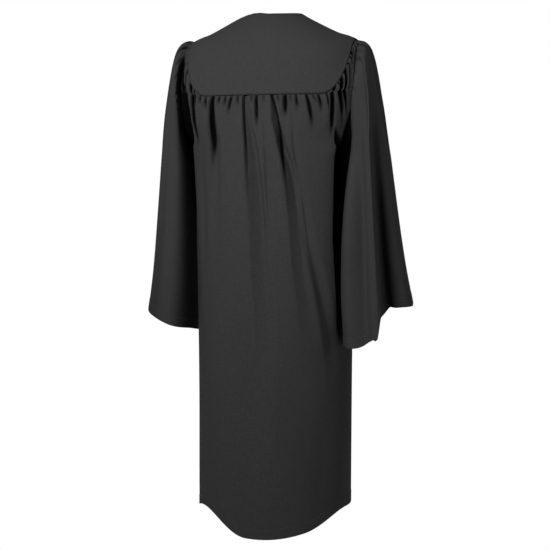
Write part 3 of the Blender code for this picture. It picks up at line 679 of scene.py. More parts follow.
# Finer folds of the sleeves, by their turn at the head and at the cuff, with their height at five
# levels down the sleeve, plus outward.
FineFold = namedtuple("FineFold", "head_turn cuff_turn half_width head upper middle lower cuff")
FINE_LEVELS = (0.0, 0.12, 0.32, 0.62, 1.0)
FINE_FOLDS = {
    "right": (
        FineFold(42.0, 42.0, 20.0, 0.002, 0.010, 0.002, 0.000, 0.000),
        FineFold(232.0, 226.0, 26.0, 0.000, 0.002, -0.006, -0.010, -0.012),
        FineFold(330.0, 338.0, 22.0, 0.000, 0.000, -0.005, -0.008, -0.010),
        FineFold(262.0, 258.0, 16.0, 0.000, 0.000, 0.003, 0.005, 0.006),
    ),
    "left": (
        FineFold(130.0, 146.0, 20.0, 0.000, 0.010, 0.020, 0.016, 0.004),
        FineFold(44.0, 48.0, 44.0, 0.000, 0.000, 0.000, -0.003, -0.008),
        FineFold(92.0, 88.0, 12.0, 0.000, 0.000, -0.002, -0.004, -0.004),
        FineFold(68.0, 62.0, 13.0, 0.000, 0.000, 0.001, 0.003, 0.004),
        FineFold(236.0, 230.0, 26.0, 0.000, 0.002, -0.006, -0.010, -0.012),
        FineFold(336.0, 342.0, 22.0, 0.000, 0.000, -0.005, -0.008, -0.010),
        FineFold(266.0, 262.0, 16.0, 0.000, 0.000, 0.003, 0.005, 0.006),
    ),
}
# The sharp crest down the back of the right sleeve and the recess beyond it, by run.
RidgeAt = namedtuple("RidgeAt", "run turn rise recess")
RIGHT_RIDGE = (
    RidgeAt(0.00, 36.0, 0.000, 0.000), RidgeAt(0.05, 40.0, 0.002, 0.000), RidgeAt(0.10, 50.0, 0.004, 0.000),
    RidgeAt(0.20, 65.0, 0.008, 0.002), RidgeAt(0.30, 76.0, 0.011, 0.009), RidgeAt(0.54, 81.0, 0.013, 0.020),
    RidgeAt(1.00, 85.0, 0.010, 0.024),
)
# How far the inner edge of the right sleeve's back is drawn over the body, by run.
DrawnAt = namedtuple("DrawnAt", "run turn half_width draw")
RIGHT_FLAP = (
    DrawnAt(0.000, 104.0, 50.0, 0.000), DrawnAt(0.020, 104.0, 50.0, 0.005),
    DrawnAt(0.060, 108.0, 48.0, 0.010), DrawnAt(0.120, 120.0, 42.0, 0.010),
    DrawnAt(0.300, 143.0, 22.0, 0.008), DrawnAt(0.540, 143.0, 20.0, 0.006),
    DrawnAt(0.800, 143.0, 20.0, 0.005), DrawnAt(1.000, 143.0, 20.0, 0.000),
)
# How far the top of the right sleeve is pressed in along its outer side, by run.
PressedAt = namedtuple("PressedAt", "run depth")
RIGHT_PRESS = (PressedAt(0.00, 0.000), PressedAt(0.05, 0.004), PressedAt(0.11, 0.011), PressedAt(0.19, 0.017),
               PressedAt(0.28, 0.013), PressedAt(0.40, 0.002), PressedAt(0.50, 0.000))
# The hollow on the inner side of the left sleeve, set back and with painted shade: the turn where it starts,
# by run.
HOLLOW_EDGE = ((0.00, 40.0), (0.04, 54.0), (0.07, 84.0), (0.09, 118.0), (0.12, 128.0), (0.28, 142.0),
               (0.40, 152.0), (0.54, 160.0), (1.00, 166.0))

# Gathers of the sleeve heads, by turn, with length, half width and depth in metres.
HeadGather = namedtuple("HeadGather", "turn foot_turn length width depth")
HEAD_GATHERS = {
    "right": (
        HeadGather(345.0, 348.0, 0.030, 0.0022, 0.0030),
        HeadGather(2.0, 4.0, 0.024, 0.0022, 0.0020),
        HeadGather(15.0, 18.0, 0.026, 0.0020, 0.0026),
        HeadGather(28.0, 30.0, 0.052, 0.0028, 0.0060),
        HeadGather(40.0, 44.0, 0.030, 0.0020, 0.0030),
        HeadGather(53.0, 55.0, 0.044, 0.0024, 0.0042),
        HeadGather(69.0, 70.0, 0.026, 0.0020, 0.0024),
        HeadGather(88.0, 86.0, 0.036, 0.0022, 0.0030),
        HeadGather(108.0, 104.0, 0.022, 0.0020, 0.0022),
    ),
    "left": (
        HeadGather(342.0, 340.0, 0.034, 0.0022, 0.0034),
        HeadGather(356.0, 362.0, 0.044, 0.0026, 0.0050),
        HeadGather(12.0, 26.0, 0.034, 0.0026, 0.0055),
        HeadGather(27.0, 52.0, 0.044, 0.0034, 0.0080),
        HeadGather(44.0, 66.0, 0.030, 0.0024, 0.0055),
        HeadGather(60.0, 82.0, 0.032, 0.0026, 0.0055),
        HeadGather(78.0, 98.0, 0.026, 0.0022, 0.0045),
    ),
}

# The hem of a cuff lifts between two turns, over an edge of so many degrees at each.
CuffLift = namedtuple("CuffLift", "first first_edge last last_edge lift")
CUFF_LIFTS = {
    "right": (CuffLift(-144.0, 50.0, -8.0, 66.0, 0.042), CuffLift(-20.0, 90.0, 86.0, 5.0, 0.022),
              CuffLift(40.0, 46.0, 86.0, 5.0, 0.022), CuffLift(90.0, 4.0, 160.0, 30.0, 0.005)),
    "left": (CuffLift(-60.0, 30.0, 200.0, 60.0, 0.018),),
}


def fold_turn(fold, run):
    """Turn of the middle of a fold that leans from the head to the cuff."""
    return fold.head_turn + (fold.cuff_turn - fold.head_turn) * run


def broad_height(name, turn, run):
    height = 0.0 * (turn + run)
    for fold in SLEEVE_FOLDS[name]:
        strength = smooth((run - fold.begins) / (fold.full - fold.begins))
        height = height + fold.depth * strength * swell_at(turn, fold_turn(fold, run), fold.half_width)
    if name == "right":
        height = height - at_run(RIGHT_PRESS, run) * bell(turn_distance(turn, 4.0) / 46.0)
    return height


def fine_height(name, turn, run):
    height = 0.0 * (turn + run)
    for fold in FINE_FOLDS[name]:
        level = np.interp(run, FINE_LEVELS, fold[3:])
        height = height + level * bell(turn_distance(turn, fold_turn(fold, run)) / fold.half_width)
    return height + ridge_height(turn, run) if name == "right" else height


def ridge_height(turn, run):
    """The right sleeve's crest, sharper on its near side further down, and the recess before it."""
    away = turn - at_run(RIGHT_RIDGE, run)
    slope = bell(away / np.where(away > 0.0, 26.0, 22.0 - 14.0 * smooth((run - 0.04) / 0.20)))
    crest = at_run(RIGHT_RIDGE, run, 2) * (slope + 0.42 * bell(away / 2.2))
    return crest - at_run(RIGHT_RIDGE, run, 3) * bell((away + 22.0) / 17.0)


def head_height(name, turn, length, girth):
    height = 0.0 * (turn + length)
    for gather in HEAD_GATHERS[name]:
        share, depth = gather_depth(gather, length)
        lean = (gather.foot_turn - gather.turn + 180.0) % 360.0 - 180.0
        width = gather.width * (1.0 + share)
        away = turn_distance(turn, gather.turn + lean * share) / 360.0 * girth / width
        crease = np.exp(1.0 - np.sqrt(1.0 + 1.4 * away ** 2))
        height = height + depth * (GATHER_ROLL * bell(away / 3.0) - crease)
    return height


def hollow(name, turn, run):
    """The left sleeve's hollow, from 0 to 1: how far it is set back and how much painted shade it gets."""
    if name != "left":
        return 0.0 * (turn + run)
    start = between(turn, at_run(HOLLOW_EDGE, run), 10.0 + 6.0 * run, 186.0, 12.0)
    return start * (1.0 - 0.85 * smooth((run - 0.45) / 0.30))


def cuff_lift(name, turn):
    place = (turn + 150.0) % 360.0 - 150.0
    return sum(step.lift * between(place, step.first, step.first_edge, step.last, step.last_edge)
               for step in CUFF_LIFTS[name])


def sleeve_section(section, turn, side):
    outward, backward = rounded(turn, section.square)
    tilt = math.radians(section.tilt)
    reach = section.across * outward
    return np.stack([side * (section.x + reach * math.cos(tilt)), section.y - section.depth * backward,
                     NECK_RISE - section.drop + reach * math.sin(tilt)], axis=-1)


def armhole_points(turn, side):
    run = side_row_run(ARMHOLE_ROWS * np.where(turn <= 180.0, turn, 360.0 - turn) / 180.0)
    cut = np.where(turn <= 180.0, armhole_cut(run, ARMHOLE_BACK), -armhole_cut(run, ARMHOLE_FRONT))
    place = side * (90.0 - cut)
    point = body_point(place, run)
    normal = body_normal(place, run) * side
    normal = np.where((normal[..., 0] * side < 0.0)[..., None], -normal, normal)
    inward = body_point(side * 90.0, SHOULDER_RUN + ARMHOLE_HALF) - point
    return point + normal * (CLOTH + 2.0 * SEAM_GAP) + unit(inward) * (SEAM_GAP / 2.0)


def sleeve_form(side):
    """A sleeve without its folds: rings of points from the armhole to the cuff, their turn and run."""
    turn = np.linspace(0.0, 360.0, SLEEVE_TURNS, endpoint=False)
    run = np.linspace(0.0, 1.0, SLEEVE_ROWS) ** 1.25
    runs = np.array([0.0] + [section.run for section in SLEEVE_SECTIONS])
    rings = np.stack([armhole_points(turn, side)]
                     + [sleeve_section(section, turn, side) for section in SLEEVE_SECTIONS])
    points = curve_through(rings.reshape(len(runs), -1), runs, run).reshape(SLEEVE_ROWS, SLEEVE_TURNS, 3)
    return points, turn[None, :], run[:, None]


def sleeve_points(name, side):
    """A sleeve with its folds, its place in the cloth and the painted shade in its folds and hollow."""
    points, turn, run = sleeve_form(side)
    outward = points - points.mean(axis=1, keepdims=True)
    outward[..., 2] = 0.0
    outward = unit(outward)
    length = length_along(points, 0)
    girth = np.linalg.norm(np.diff(points, axis=1), axis=-1).sum(axis=1)[:, None]
    head = head_height(name, turn, length, girth)
    fine = fine_height(name, turn, run)
    # the left sleeve's hollow: how far it is set back, and its painted shade
    hollow_and_painted_shade = hollow(name, turn, run)
    swell = HEAD_SWELL * smooth(length / 0.006) * np.exp(-length / 0.03)
    height = broad_height(name, turn, run) + fine + head + swell
    # painted shade: the cloth is darkened in the head's gathers, in the sunken folds and in the left sleeve's
    # hollow
    painted_shade = np.maximum.reduce([-head / PAINTED_SHADE_DEPTH, SLEEVE_PAINTED_SHADE * -fine / SIDE_TUCK, hollow_and_painted_shade])
    points = points + outward * height[..., None]
    points[..., 1] += HOLLOW_DEPTH * hollow_and_painted_shade * smooth(run / 0.02)
    if name == "right":
        away = turn_distance(turn, at_run(RIGHT_FLAP, run)) / at_run(RIGHT_FLAP, run, 2)
        drawn = at_run(RIGHT_FLAP, run, 3) * np.exp(-away ** 4)
        points[..., 0] -= drawn
        points[..., 1] -= 0.4 * drawn
    else:
        top = bell(turn_distance(turn, 12.0) / 50.0)
        points[..., 2] += 0.008 * top * smooth(length / 0.016) * bell(length / 0.08)
    points[..., 2] -= (uneven_drop(CUFF_DROPS[name], turn) - cuff_lift(name, turn)) * run ** 2
    girth = np.linalg.norm(np.diff(points[-1], axis=0), axis=-1).sum()
    length = length_along(points, 0)
    return points, np.stack([turn / 360.0 * girth + 0.0 * length, -length], axis=-1), painted_shade


# ---------------------------------------------------------------- meshes
def placed(name, data):
    """An object at the origin, in the scene."""
    item = bpy.data.objects.new(name, data)
    bpy.context.scene.collection.objects.link(item)
    return item


def flat(values):
    return np.ascontiguousarray(values, dtype=np.float32).ravel()


def new_mesh(name, vertices, edges=(), faces=(), smooth_faces=False):
    mesh = bpy.data.meshes.new(name)
    mesh.from_pydata([tuple(map(float, vertex)) for vertex in vertices], edges, faces)
    mesh.polygons.foreach_set("use_smooth", [smooth_faces] * len(mesh.polygons))
    mesh.update()
    return mesh


def grid_mesh(name, points, place, painted_shade):
    """A mesh of quads from a grid of points, with its place in the cloth and the painted shade of its folds.
    """
    rows, columns = points.shape[:2]
    faces = [(row * columns + column, (row + 1) * columns + column,
              (row + 1) * columns + column + 1, row * columns + column + 1)
             for row in range(rows - 1) for column in range(columns - 1)]
    mesh = new_mesh(name, points.reshape(-1, 3), faces=faces, smooth_faces=True)
    corner = np.empty(len(mesh.loops), dtype=np.int32)
    mesh.loops.foreach_get("vertex_index", corner)
    mesh.uv_layers.new(name="cloth").data.foreach_set("uv", flat(place.reshape(-1, 2)[corner]))
    # painted shade, kept on the points for the cloth's material to darken it
    depth = mesh.attributes.new("painted_fold_shade", "FLOAT", "POINT")
    depth.data.foreach_set("value", flat(np.clip(painted_shade, 0.0, 1.0)))
    mesh.update()
    return mesh


def faces_out(mesh, centre):
    """Whether most faces of a sheet look away from an upright line through centre."""
    normal, middle = np.empty(len(mesh.polygons) * 3), np.empty(len(mesh.polygons) * 3)
    mesh.polygons.foreach_get("normal", normal)
    mesh.polygons.foreach_get("center", middle)
    away = middle.reshape(-1, 3) - np.array(centre)
    away[:, 2] = 0.0
    return (np.sum(normal.reshape(-1, 3) * away, axis=1) > 0.0).mean() > 0.5


def shell(name, points, place, painted_shade, wall, centre, closed=False):
    """A sheet of cloth from a grid of its outer points; its thickness goes to the inner side."""
    if closed:
        points = np.concatenate([points, points[:, :1]], axis=1)
        place = np.concatenate([place, place[:, :1]], axis=1)
        place[:, -1, 0] = place[:, -2, 0] + (place[:, 1, 0] - place[:, 0, 0])
        painted_shade = np.concatenate([painted_shade, painted_shade[:, :1]], axis=1)
    mesh = grid_mesh(name, points, place, painted_shade)
    piece = placed(name, mesh)
    if closed:
        work = bmesh.new()
        work.from_mesh(mesh)
        bmesh.ops.remove_doubles(work, verts=work.verts, dist=1e-6)
        work.to_mesh(mesh)
        work.free()
    thick = piece.modifiers.new("wall", "SOLIDIFY")
    thick.thickness = wall
    thick.offset = -1.0
    thick.use_even_offset = False
    thick.use_quality_normals = True
    if not faces_out(mesh, centre):
        mesh.flip_normals()
    return piece


def settle(points):
    """The hang of this gown: the left shoulder a little high, the left of the back hem a little low."""
    x, y, z = points[..., 0], points[..., 1], points[..., 2]
    shoulder = 0.0055 * smooth((-x - 0.045) / 0.045) * smooth((z + 0.16) / 0.10)
    nape = 0.0030 * bell(x / 0.045) * smooth((z + 0.03) / 0.02)
    corner = 0.0100 * bell((x + 0.175) / 0.06) * smooth((-0.90 - z) / 0.28) * smooth((0.05 - y) / 0.1)
    hem = 0.0035 * smooth((-0.85 - z) / 0.33)
    points[..., 2] = z + shoulder + nape - corner - hem


def outward_of(points, centre, closed=False):
    """Normals of a grid of points, turned away from an upright line through centre."""
    if closed:
        points = np.concatenate([points[:, -1:], points, points[:, :1]], axis=1)
    down, across = np.gradient(points, axis=0), np.gradient(points, axis=1)
    normal = unit(np.cross(across, down))
    if closed:
        normal, points = normal[:, 1:-1], points[:, 1:-1]
    away = points - np.array(centre)
    away[..., 2] = 0.0
    return normal if np.sum(normal * away) > 0.0 else -normal


HEM_LINES = np.array([0.0360, 0.0310, 0.0280, 0.0264, 0.0256, 0.0250, 0.0244, 0.0236, 0.0222, 0.0180, 0.0130,
                      0.0080, 0.0036, 0.0014, 0.0000])


def at_lines(grid, from_end, lines):
    """A grid's values along lines at given distances from its last row."""
    values = grid.reshape(grid.shape[0], grid.shape[1], -1)
    found = np.empty((len(lines),) + values.shape[1:])
    for column in range(values.shape[1]):
        for part in range(values.shape[2]):
            found[:, column, part] = np.interp(lines, from_end[::-1, column], values[::-1, column, part])
    return found.reshape((len(lines),) + grid.shape[1:])


def from_last_row(points):
    return length_along(points[::-1], 0)[::-1]


def with_hem(points, place, painted_shade, centre, closed):
    """Finer rows at the edge, where the cloth is turned up and sewn down."""
    from_end = from_last_row(points)
    kept = int(np.argmax(from_end.min(axis=1) < HEM_LINES[0] + 0.005))
    outward = unit(at_lines(outward_of(points, centre, closed), from_end, HEM_LINES))
    turned_up = smooth((HEM_FOLD + 0.0010 - HEM_LINES) / 0.0014)
    rise = HEM_THICK * (turned_up - 1.3 * bell((HEM_LINES - HEM_FOLD) / 0.0007))
    points, place, painted_shade = (np.concatenate([grid[:kept], at_lines(grid, from_end, HEM_LINES)])
                           for grid in (points, place, painted_shade))
    points[kept:] += outward * rise[:, None, None]
    return points, place, painted_shade


# Lines of stitches: for each line its points and the outward direction there.
STITCH_LINES = []


def stitch_line(points, centre, distance, closed=False):
    """Stitches along a grid at a distance from its last row."""
    from_end = from_last_row(points)
    line = at_lines(points, from_end, [distance])[0]
    away = unit(at_lines(outward_of(points, centre, closed), from_end, [distance])[0])
    line = line + away * STITCH_OUT
    if closed:
        line, away = np.concatenate([line, line[:1]]), np.concatenate([away, away[:1]])
    STITCH_LINES.append((line, away))


def cloth_piece(name, node, points, place, painted_shade, centre, closed=False, hem=True):
    settle(points)
    if hem:
        points, place, painted_shade = with_hem(points, place, painted_shade, centre, closed)
        stitch_line(points, centre, HEM_FOLD, closed)
    if name.endswith("front_cloth"):
        stitch_line(np.swapaxes(points, 0, 1)[::-1], centre, EDGE_STITCH)
    if name == "shoulder_yoke":
        stitch_line(points[::-1], centre, EDGE_STITCH)
    piece = shell(name, points, place, painted_shade, CLOTH_WALL, centre, closed)
    piece.data.materials.append(GOWN)
    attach(piece, "gown")
    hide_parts(node)
    return piece


# ---------------------------------------------------------------- materials
def add_node(tree, kind, inputs=None, **settings):
    """A node with its settings, and its inputs set to values or joined to other nodes' outputs."""
    node = tree.nodes.new(kind)
    for name, value in settings.items():
        setattr(node, name, value)
    for socket, value in (inputs or {}).items():
        if isinstance(value, bpy.types.NodeSocket):
            tree.links.new(value, node.inputs[socket])
        else:
            node.inputs[socket].default_value = value
    return node


def maths(tree, operation, *values, clamp=False):
    inputs = dict(enumerate(values))
    return add_node(tree, "ShaderNodeMath", inputs, operation=operation, use_clamp=clamp).outputs[0]


def noise(tree, place, waves, detail=2.0):
    """Noise with so many waves to the metre each way."""
    stretched = add_node(tree, "ShaderNodeMapping", {"Vector": place, "Scale": waves})
    inputs = {"Vector": stretched.outputs["Vector"], "Scale": 1.0, "Detail": detail}
    return add_node(tree, "ShaderNodeTexNoise", inputs).outputs["Fac"]


def new_material(name, roughness):
    """A material, its node tree and its shader."""
    material = bpy.data.materials.new(name)
    material.use_nodes = True
    tree = material.node_tree
    tree.nodes.clear()
    shader = add_node(tree, "ShaderNodeBsdfPrincipled", {"Roughness": roughness})
    add_node(tree, "ShaderNodeOutputMaterial", {"Surface": shader.outputs["BSDF"]})
    return material, tree, shader


def colour_by(tree, shader, colour, tone):
    """A shader's colour, made paler and darker over the surface by a tone."""
    scaled = add_node(tree, "ShaderNodeVectorMath", {0: colour, "Scale": tone}, operation="SCALE")
    tree.links.new(scaled.outputs["Vector"], shader.inputs["Base Color"])


def relief(tree, shader, height, strength, distance):
    bump = add_node(tree, "ShaderNodeBump", {"Height": height, "Strength": strength, "Distance": distance})
    tree.links.new(bump.outputs["Normal"], shader.inputs["Normal"])


def cloth_place(tree):
    """The place in the cloth, in metres: as one vector, across and along."""
    place = add_node(tree, "ShaderNodeUVMap", uv_map="cloth").outputs["UV"]
    parts = add_node(tree, "ShaderNodeSeparateXYZ", {0: place}).outputs
    return place, parts["X"], parts["Y"]


TWILL_ACROSS, TWILL_ALONG = 4200.0, 2600.0     # radians of the rib to a metre of cloth
PAINTED_FOLD_SHADE = 0.93                            # painted shade: share of its colour and gloss that the fullest-shaded fold loses
CLOTH_GLOSS = 0.12


def cloth_material(name, colour):
    """Plain polyester twill: a fine rib, slubs both ways, a faint nap that varies, and painted shade in its
    folds on its colour and gloss.
    """
    material, tree, shader = new_material(name, 0.85)
    place, across, along = cloth_place(tree)
    slub = noise(tree, place, (220.0, 40.0, 1.0))
    cross = noise(tree, place, (50.0, 260.0, 1.0))
    grain = noise(tree, place, (900.0, 900.0, 1.0), 1.0)
    cloud = noise(tree, place, (9.0, 4.0, 1.0), 3.0)
    mottle = noise(tree, place, (330.0, 240.0, 1.0))
    rib = maths(tree, "SINE", maths(tree, "ADD", maths(tree, "MULTIPLY", across, TWILL_ACROSS),
                                    maths(tree, "MULTIPLY", along, TWILL_ALONG)))
    tone = maths(tree, "MULTIPLY_ADD", grain, 1.10, 0.45)
    for part, swing in ((slub, 0.24), (cross, 0.20), (cloud, 0.16), (mottle, 0.56)):
        tone = maths(tree, "MULTIPLY", tone, maths(tree, "MULTIPLY_ADD", part, swing, 1.0 - swing / 2.0))
    # painted shade: the folds' attribute darkens the colour and the gloss
    fold = add_node(tree, "ShaderNodeAttribute", attribute_name="painted_fold_shade").outputs["Fac"]
    after_painted_shade = maths(tree, "SUBTRACT", 1.0, maths(tree, "MULTIPLY", fold, PAINTED_FOLD_SHADE), clamp=True)
    colour_by(tree, shader, colour, maths(tree, "MULTIPLY", tone, after_painted_shade))
    height = maths(tree, "MULTIPLY_ADD", rib, 0.25, maths(tree, "ADD", slub, cross))
    relief(tree, shader, maths(tree, "ADD", height, grain), 0.35, 0.0004)
    # painted shade on the gloss as well
    tree.links.new(maths(tree, "MULTIPLY", after_painted_shade, CLOTH_GLOSS), shader.inputs["Specular IOR Level"])
    return material


def plain_material(name, colour, roughness):
    material, _, shader = new_material(name, roughness)
    shader.inputs["Base Color"].default_value = (*colour, 1.0)
    return material


def scratched_metal(name, colour, roughness):
    """Blackened metal, rubbed a little paler and smoother in places."""
    material, tree, shader = new_material(name, roughness)
    shader.inputs["Metallic"].default_value = 0.9
    place = add_node(tree, "ShaderNodeTexCoord").outputs["Object"]
    rubbed = noise(tree, place, (260.0, 260.0, 90.0), 4.0)
    tree.links.new(maths(tree, "MULTIPLY_ADD", rubbed, 0.30, roughness - 0.15), shader.inputs["Roughness"])
    colour_by(tree, shader, colour, maths(tree, "MULTIPLY_ADD", rubbed, 0.9, 0.55))
    relief(tree, shader, rubbed, 0.2, 0.0001)
    return material


def tape_material(name, colour):
    """Herringbone tape: rows of slanting threads that change their slant."""
    material, tree, shader = new_material(name, 0.8)
    shader.inputs["Specular IOR Level"].default_value = 0.2
    place, across, along = cloth_place(tree)
    slant = maths(tree, "PINGPONG", across, 0.0018)
    thread = maths(tree, "SINE", maths(tree, "MULTIPLY", maths(tree, "ADD", along, slant), 9000.0))
    grain = noise(tree, place, (900.0, 900.0, 900.0), 3.0)
    tone = maths(tree, "MULTIPLY_ADD", thread, 0.22, maths(tree, "MULTIPLY_ADD", grain, 0.5, 0.75))
    colour_by(tree, shader, colour, tone)
    relief(tree, shader, thread, 0.5, 0.0002)
    return material


GOWN = cloth_material("gown_cloth_black", (0.022, 0.022, 0.023))
METAL = scratched_metal("blackened_metal", (0.026, 0.026, 0.028), 0.60)
TAPE = tape_material("zip_tape_black", (0.014, 0.014, 0.015))
TEETH = scratched_metal("zip_teeth_black", (0.020, 0.020, 0.021), 0.62)
THREAD = plain_material("sewing_thread_black", (0.010, 0.010, 0.010), 0.9)


# ---------------------------------------------------------------- what repeats along a line
def shape_of(tree, kind, size, place):
    """A small shape: a cube or a thread, which is a stretched ball."""
    if kind == "cube":
        solid, stretch = add_node(tree, "GeometryNodeMeshCube", {"Size": size}), (1.0, 1.0, 1.0)
    else:
        solid = add_node(tree, "GeometryNodeMeshUVSphere", {"Segments": 6, "Rings": 4, "Radius": 0.5})
        stretch = size
    inputs = {"Geometry": solid.outputs["Mesh"], "Translation": place, "Scale": stretch}
    return add_node(tree, "GeometryNodeTransform", inputs).outputs["Geometry"]


REPEAT_INPUTS = (("Geometry", "Geometry"), ("Pitch", "Float"), ("Unevenness", "Float"), ("Seed", "Int"),
                 ("Material", "Material"))


def repeat_tree(name, shapes):
    """A tree that sets small shapes at a pitch along the lines of a mesh, and its inputs' names."""
    tree = bpy.data.node_groups.new(name, "GeometryNodeTree")
    tree.is_modifier = True
    sockets = {}
    for title, kind in REPEAT_INPUTS:
        socket = tree.interface.new_socket(title, in_out="INPUT", socket_type="NodeSocket" + kind)
        sockets[title] = socket.identifier
    tree.interface.new_socket("Geometry", in_out="OUTPUT", socket_type="NodeSocketGeometry")
    given = tree.nodes.new("NodeGroupInput").outputs
    curve = add_node(tree, "GeometryNodeMeshToCurve", {"Mesh": given["Geometry"]}).outputs["Curve"]
    even = add_node(tree, "GeometryNodeResampleCurve", {
        "Curve": curve, "Length": given["Pitch"]}, mode="LENGTH")
    tangent = add_node(tree, "GeometryNodeInputTangent").outputs["Tangent"]
    along = add_node(tree, "FunctionNodeAlignRotationToVector", {"Vector": tangent}, axis="X")
    outward = add_node(tree, "GeometryNodeInputNamedAttribute", {"Name": "outward"}, data_type="FLOAT_VECTOR")
    upright = add_node(tree, "FunctionNodeAlignRotationToVector", {
        "Rotation": along.outputs["Rotation"],
        "Vector": outward.outputs["Attribute"]}, axis="Z", pivot_axis="X")
    joined = add_node(tree, "GeometryNodeJoinGeometry")
    for shape in shapes:
        tree.links.new(shape_of(tree, *shape), joined.inputs["Geometry"])
    random = add_node(tree, "FunctionNodeRandomValue", {"Seed": given["Seed"]}, data_type="FLOAT")
    uneven = maths(tree, "MULTIPLY_ADD", random.outputs[1], given["Unevenness"], 1.0)
    copies = add_node(tree, "GeometryNodeInstanceOnPoints", {
        "Points": even.outputs["Curve"], "Instance": joined.outputs["Geometry"],
        "Rotation": upright.outputs["Rotation"], "Scale": uneven})
    whole = add_node(tree, "GeometryNodeRealizeInstances", {"Geometry": copies.outputs["Instances"]})
    dressed = add_node(tree, "GeometryNodeSetMaterial", {
        "Geometry": whole.outputs["Geometry"], "Material": given["Material"]})
    add_node(tree, "NodeGroupOutput", {"Geometry": dressed.outputs["Geometry"]})
    return tree, sockets


def repeated(name, lines, pitch, shapes, finish):
    """One mesh of small shapes set at a pitch along lines; X of a shape runs along, Z outward.

    Each shape is (kind, size, place) with kind "cube" or "thread"."""
    edges, first = [], 0
    for line, _ in lines:
        edges += [(index, index + 1) for index in range(first, first + len(line) - 1)]
        first += len(line)
    path = new_mesh(name + "_path", np.concatenate([line for line, _ in lines]), edges=edges)
    outward = path.attributes.new("outward", "FLOAT_VECTOR", "POINT")
    outward.data.foreach_set("vector", flat(np.concatenate([away for _, away in lines])))
    holder = placed(name + "_path", path)
    step = holder.modifiers.new("repeat", "NODES")
    step.node_group, sockets = repeat_tree(name + "_tree", shapes)
    for title, value in (("Pitch", pitch), ("Unevenness", UNEVENNESS), ("Seed", SEED), ("Material", finish)):
        step[sockets[title]] = value
    graph = bpy.context.evaluated_depsgraph_get()
    graph.update()
    made = holder.evaluated_get(graph)
    mesh = bpy.data.meshes.new_from_object(made, preserve_all_data_layers=False, depsgraph=graph)
    mesh.name = name
    bpy.data.objects.remove(holder, do_unlink=True)
    piece = placed(name, mesh)
    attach(piece, "gown")
    return piece


# ---------------------------------------------------------------- pieces
SIDES = (("right", 1.0), ("left", -1.0))
back = cloth_piece("gathered_back", "back_panel", *back_points(), (0.0, 0.05, -0.6))
yoke = cloth_piece("shoulder_yoke", "back_yoke", *yoke_points(), (0.0, 0.06, -0.1), hem=False)
fronts, sleeves, tapes = {}, {}, {}
for side_name, side in SIDES:
    fronts[side_name] = cloth_piece(side_name + "_front_cloth", side_name + "_front", *front_points(side),
                                    (side * 0.05, -0.05, -0.6))
    sleeves[side_name] = cloth_piece(side_name + "_sleeve_cloth", side_name + "_sleeve",
                                     *sleeve_points(side_name, side), (side * 0.235, 0.02, -0.4), closed=True)
for side_name, side in SIDES:
    tape = shell(side_name + "_woven_tape", *tape_points(side), TAPE_WALL, (0.0, 0.0, 0.0))
    tape.data.materials.append(TAPE)
    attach(tape, "gown")
    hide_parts(side_name + "_zip_tape")
    tapes[side_name] = tape

stitches = repeated("seam_stitches", STITCH_LINES, STITCH_PITCH,
                    [("thread", STITCH_SIZE, (0.0, 0.0, 0.0))], THREAD)


def on_zip(row):
    """Points in the middle of the tapes' wall, where the zip closes."""
    return on_front(1.0, row, ZIP_LINE, -TAPE_BEHIND - TAPE_WALL / 2.0)


def tooth_line(side, shift):
    """The line of one tape's teeth and the outward direction along it."""
    line = on_zip(np.linspace(TEETH_FIRST_ROW, TEETH_LAST_ROW, TEETH_POINTS))
    line[:, 0] = side * TOOTH_OUT
    line[:, 2] -= shift
    beside = line + np.array([TOOTH_OUT, 0.0, 0.0])
    away = outward_of(np.stack([line, beside], axis=1), (0.0, 0.0, 0.0))[:, 0]
    return (line, away) if side > 0.0 else (line[::-1], away[::-1])


# The teeth: a row on each tape, the second half a pitch on, meeting in the middle.
teeth = repeated("zip_teeth", [tooth_line(1.0, 0.0), tooth_line(-1.0, TOOTH_PITCH / 2.0)], TOOTH_PITCH,
                 [("cube", TOOTH_STEM, (0.0, 0.0, 0.0)),
                  ("cube", TOOTH_HEAD, (0.0, TOOTH_HEAD_IN - TOOTH_OUT, 0.0))], TEETH)

stop_at = on_zip(np.array([STOP_ROW]))[0] * (0.0, 1.0, 1.0)
corners = [stop_at + np.array(STOP_SIZE) / 2.0 * (x, y, z) for x in (-1, 1) for y in (-1, 1) for z in (-1, 1)]
stop = placed("zip_foot_stop", new_mesh("zip_foot_stop", corners, faces=[
    (0, 1, 3, 2), (4, 6, 7, 5), (0, 4, 5, 1), (2, 3, 7, 6), (0, 2, 6, 4), (1, 5, 7, 3)]))
stop.data.materials.append(METAL)
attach(stop, "gown")
for node in ("zip_slider", "pull_tab"):
    metal_node = bpy.data.objects[node]
    metal_node.data.materials.clear()
    metal_node.data.materials.append(METAL)


# ---------------------------------------------------------------- floor, light and camera
def camera_only(tree, seen, other):
    """Joins two shaders: one that the camera sees and one for all other rays."""
    path = add_node(tree, "ShaderNodeLightPath").outputs["Is Camera Ray"]
    mix = add_node(tree, "ShaderNodeMixShader", {"Fac": path, 1: other, 2: seen})
    out = [node for node in tree.nodes if node.type in ("OUTPUT_MATERIAL", "OUTPUT_WORLD")][0]
    tree.links.new(mix.outputs["Shader"], out.inputs["Surface"])


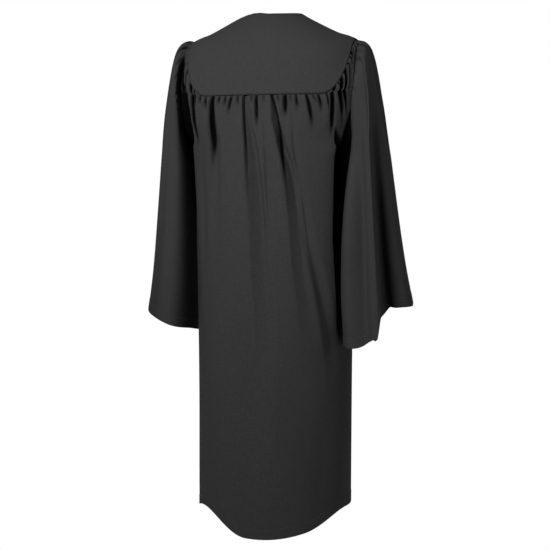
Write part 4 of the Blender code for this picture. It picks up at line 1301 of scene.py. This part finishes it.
FLOOR_Z = -1.45
FLOOR_HALF = 30.0
floor = placed("studio_floor", new_mesh("studio_floor", [
    (-FLOOR_HALF, -FLOOR_HALF, FLOOR_Z), (FLOOR_HALF, -FLOOR_HALF, FLOOR_Z),
    (FLOOR_HALF, FLOOR_HALF, FLOOR_Z), (-FLOOR_HALF, FLOOR_HALF, FLOOR_Z)], faces=[(0, 1, 2, 3)]))
paint, paint_tree, paint_shader = new_material("studio_white", 1.0)
paint_shader.inputs["Base Color"].default_value = (0.55, 0.55, 0.55, 1.0)
glow = add_node(paint_tree, "ShaderNodeEmission", {"Strength": 1.0}).outputs["Emission"]
clear = add_node(paint_tree, "ShaderNodeBsdfTransparent").outputs["BSDF"]
from_below = add_node(paint_tree, "ShaderNodeNewGeometry").outputs["Backfacing"]
seen = add_node(paint_tree, "ShaderNodeMixShader", {"Fac": from_below, 1: glow, 2: clear}).outputs["Shader"]
camera_only(paint_tree, seen, paint_shader.outputs["BSDF"])
floor.data.materials.append(paint)

world = bpy.data.worlds.new("studio_air")
bpy.context.scene.world = world
world.use_nodes = True
air = world.node_tree
white, soft = (add_node(air, "ShaderNodeBackground", {"Color": (1.0, 1.0, 1.0, 1.0), "Strength": strength})
               for strength in (1.0, 0.22))
camera_only(air, white.outputs["Background"], soft.outputs["Background"])


def aimed(name, data, place, target):
    """A lamp or camera at a place, turned to a target."""
    item = placed(name, data)
    item.location = place
    item.rotation_euler = (Vector(target) - Vector(place)).to_track_quat("-Z", "Y").to_euler()
    return item


def area_light(name, place, target, size, power, spread=180.0):
    light = bpy.data.lights.new(name, "AREA")
    light.spread = math.radians(spread)
    light.shape = "RECTANGLE"
    light.size, light.size_y = size
    light.energy = power
    aimed(name, light, place, target)


area_light("window_light", (-0.46, -2.03, 0.60), (0.0, 0.0, -0.32), (0.80, 0.80), 21.5, 96.0)
area_light("front_light", (-0.9, 2.8, 0.3), (0.0, 0.0, -0.55), (1.2, 1.2), 75.0)
area_light("side_light", (1.9, 0.25, 0.25), (0.30, 0.0, -0.30), (0.5, 1.1), 8.0)
area_light("high_light", (-0.3, -1.7, 2.0), (0.0, 0.0, -0.1), (1.0, 0.8), 7.0)

CAMERA_AWAY = 2.6
CAMERA_TURN = math.radians(14.0)
CAMERA_PLACE = (CAMERA_AWAY * math.sin(CAMERA_TURN), -CAMERA_AWAY * math.cos(CAMERA_TURN), -0.40)
CAMERA_AIM = (-0.0023, 0.0, -0.615)
view = bpy.data.cameras.new("studio_camera")
view.lens = 70.0
view.sensor_width = 36.0
bpy.context.scene.camera = aimed("studio_camera", view, CAMERA_PLACE, CAMERA_AIM)
bpy.context.scene.view_settings.view_transform = "Standard"
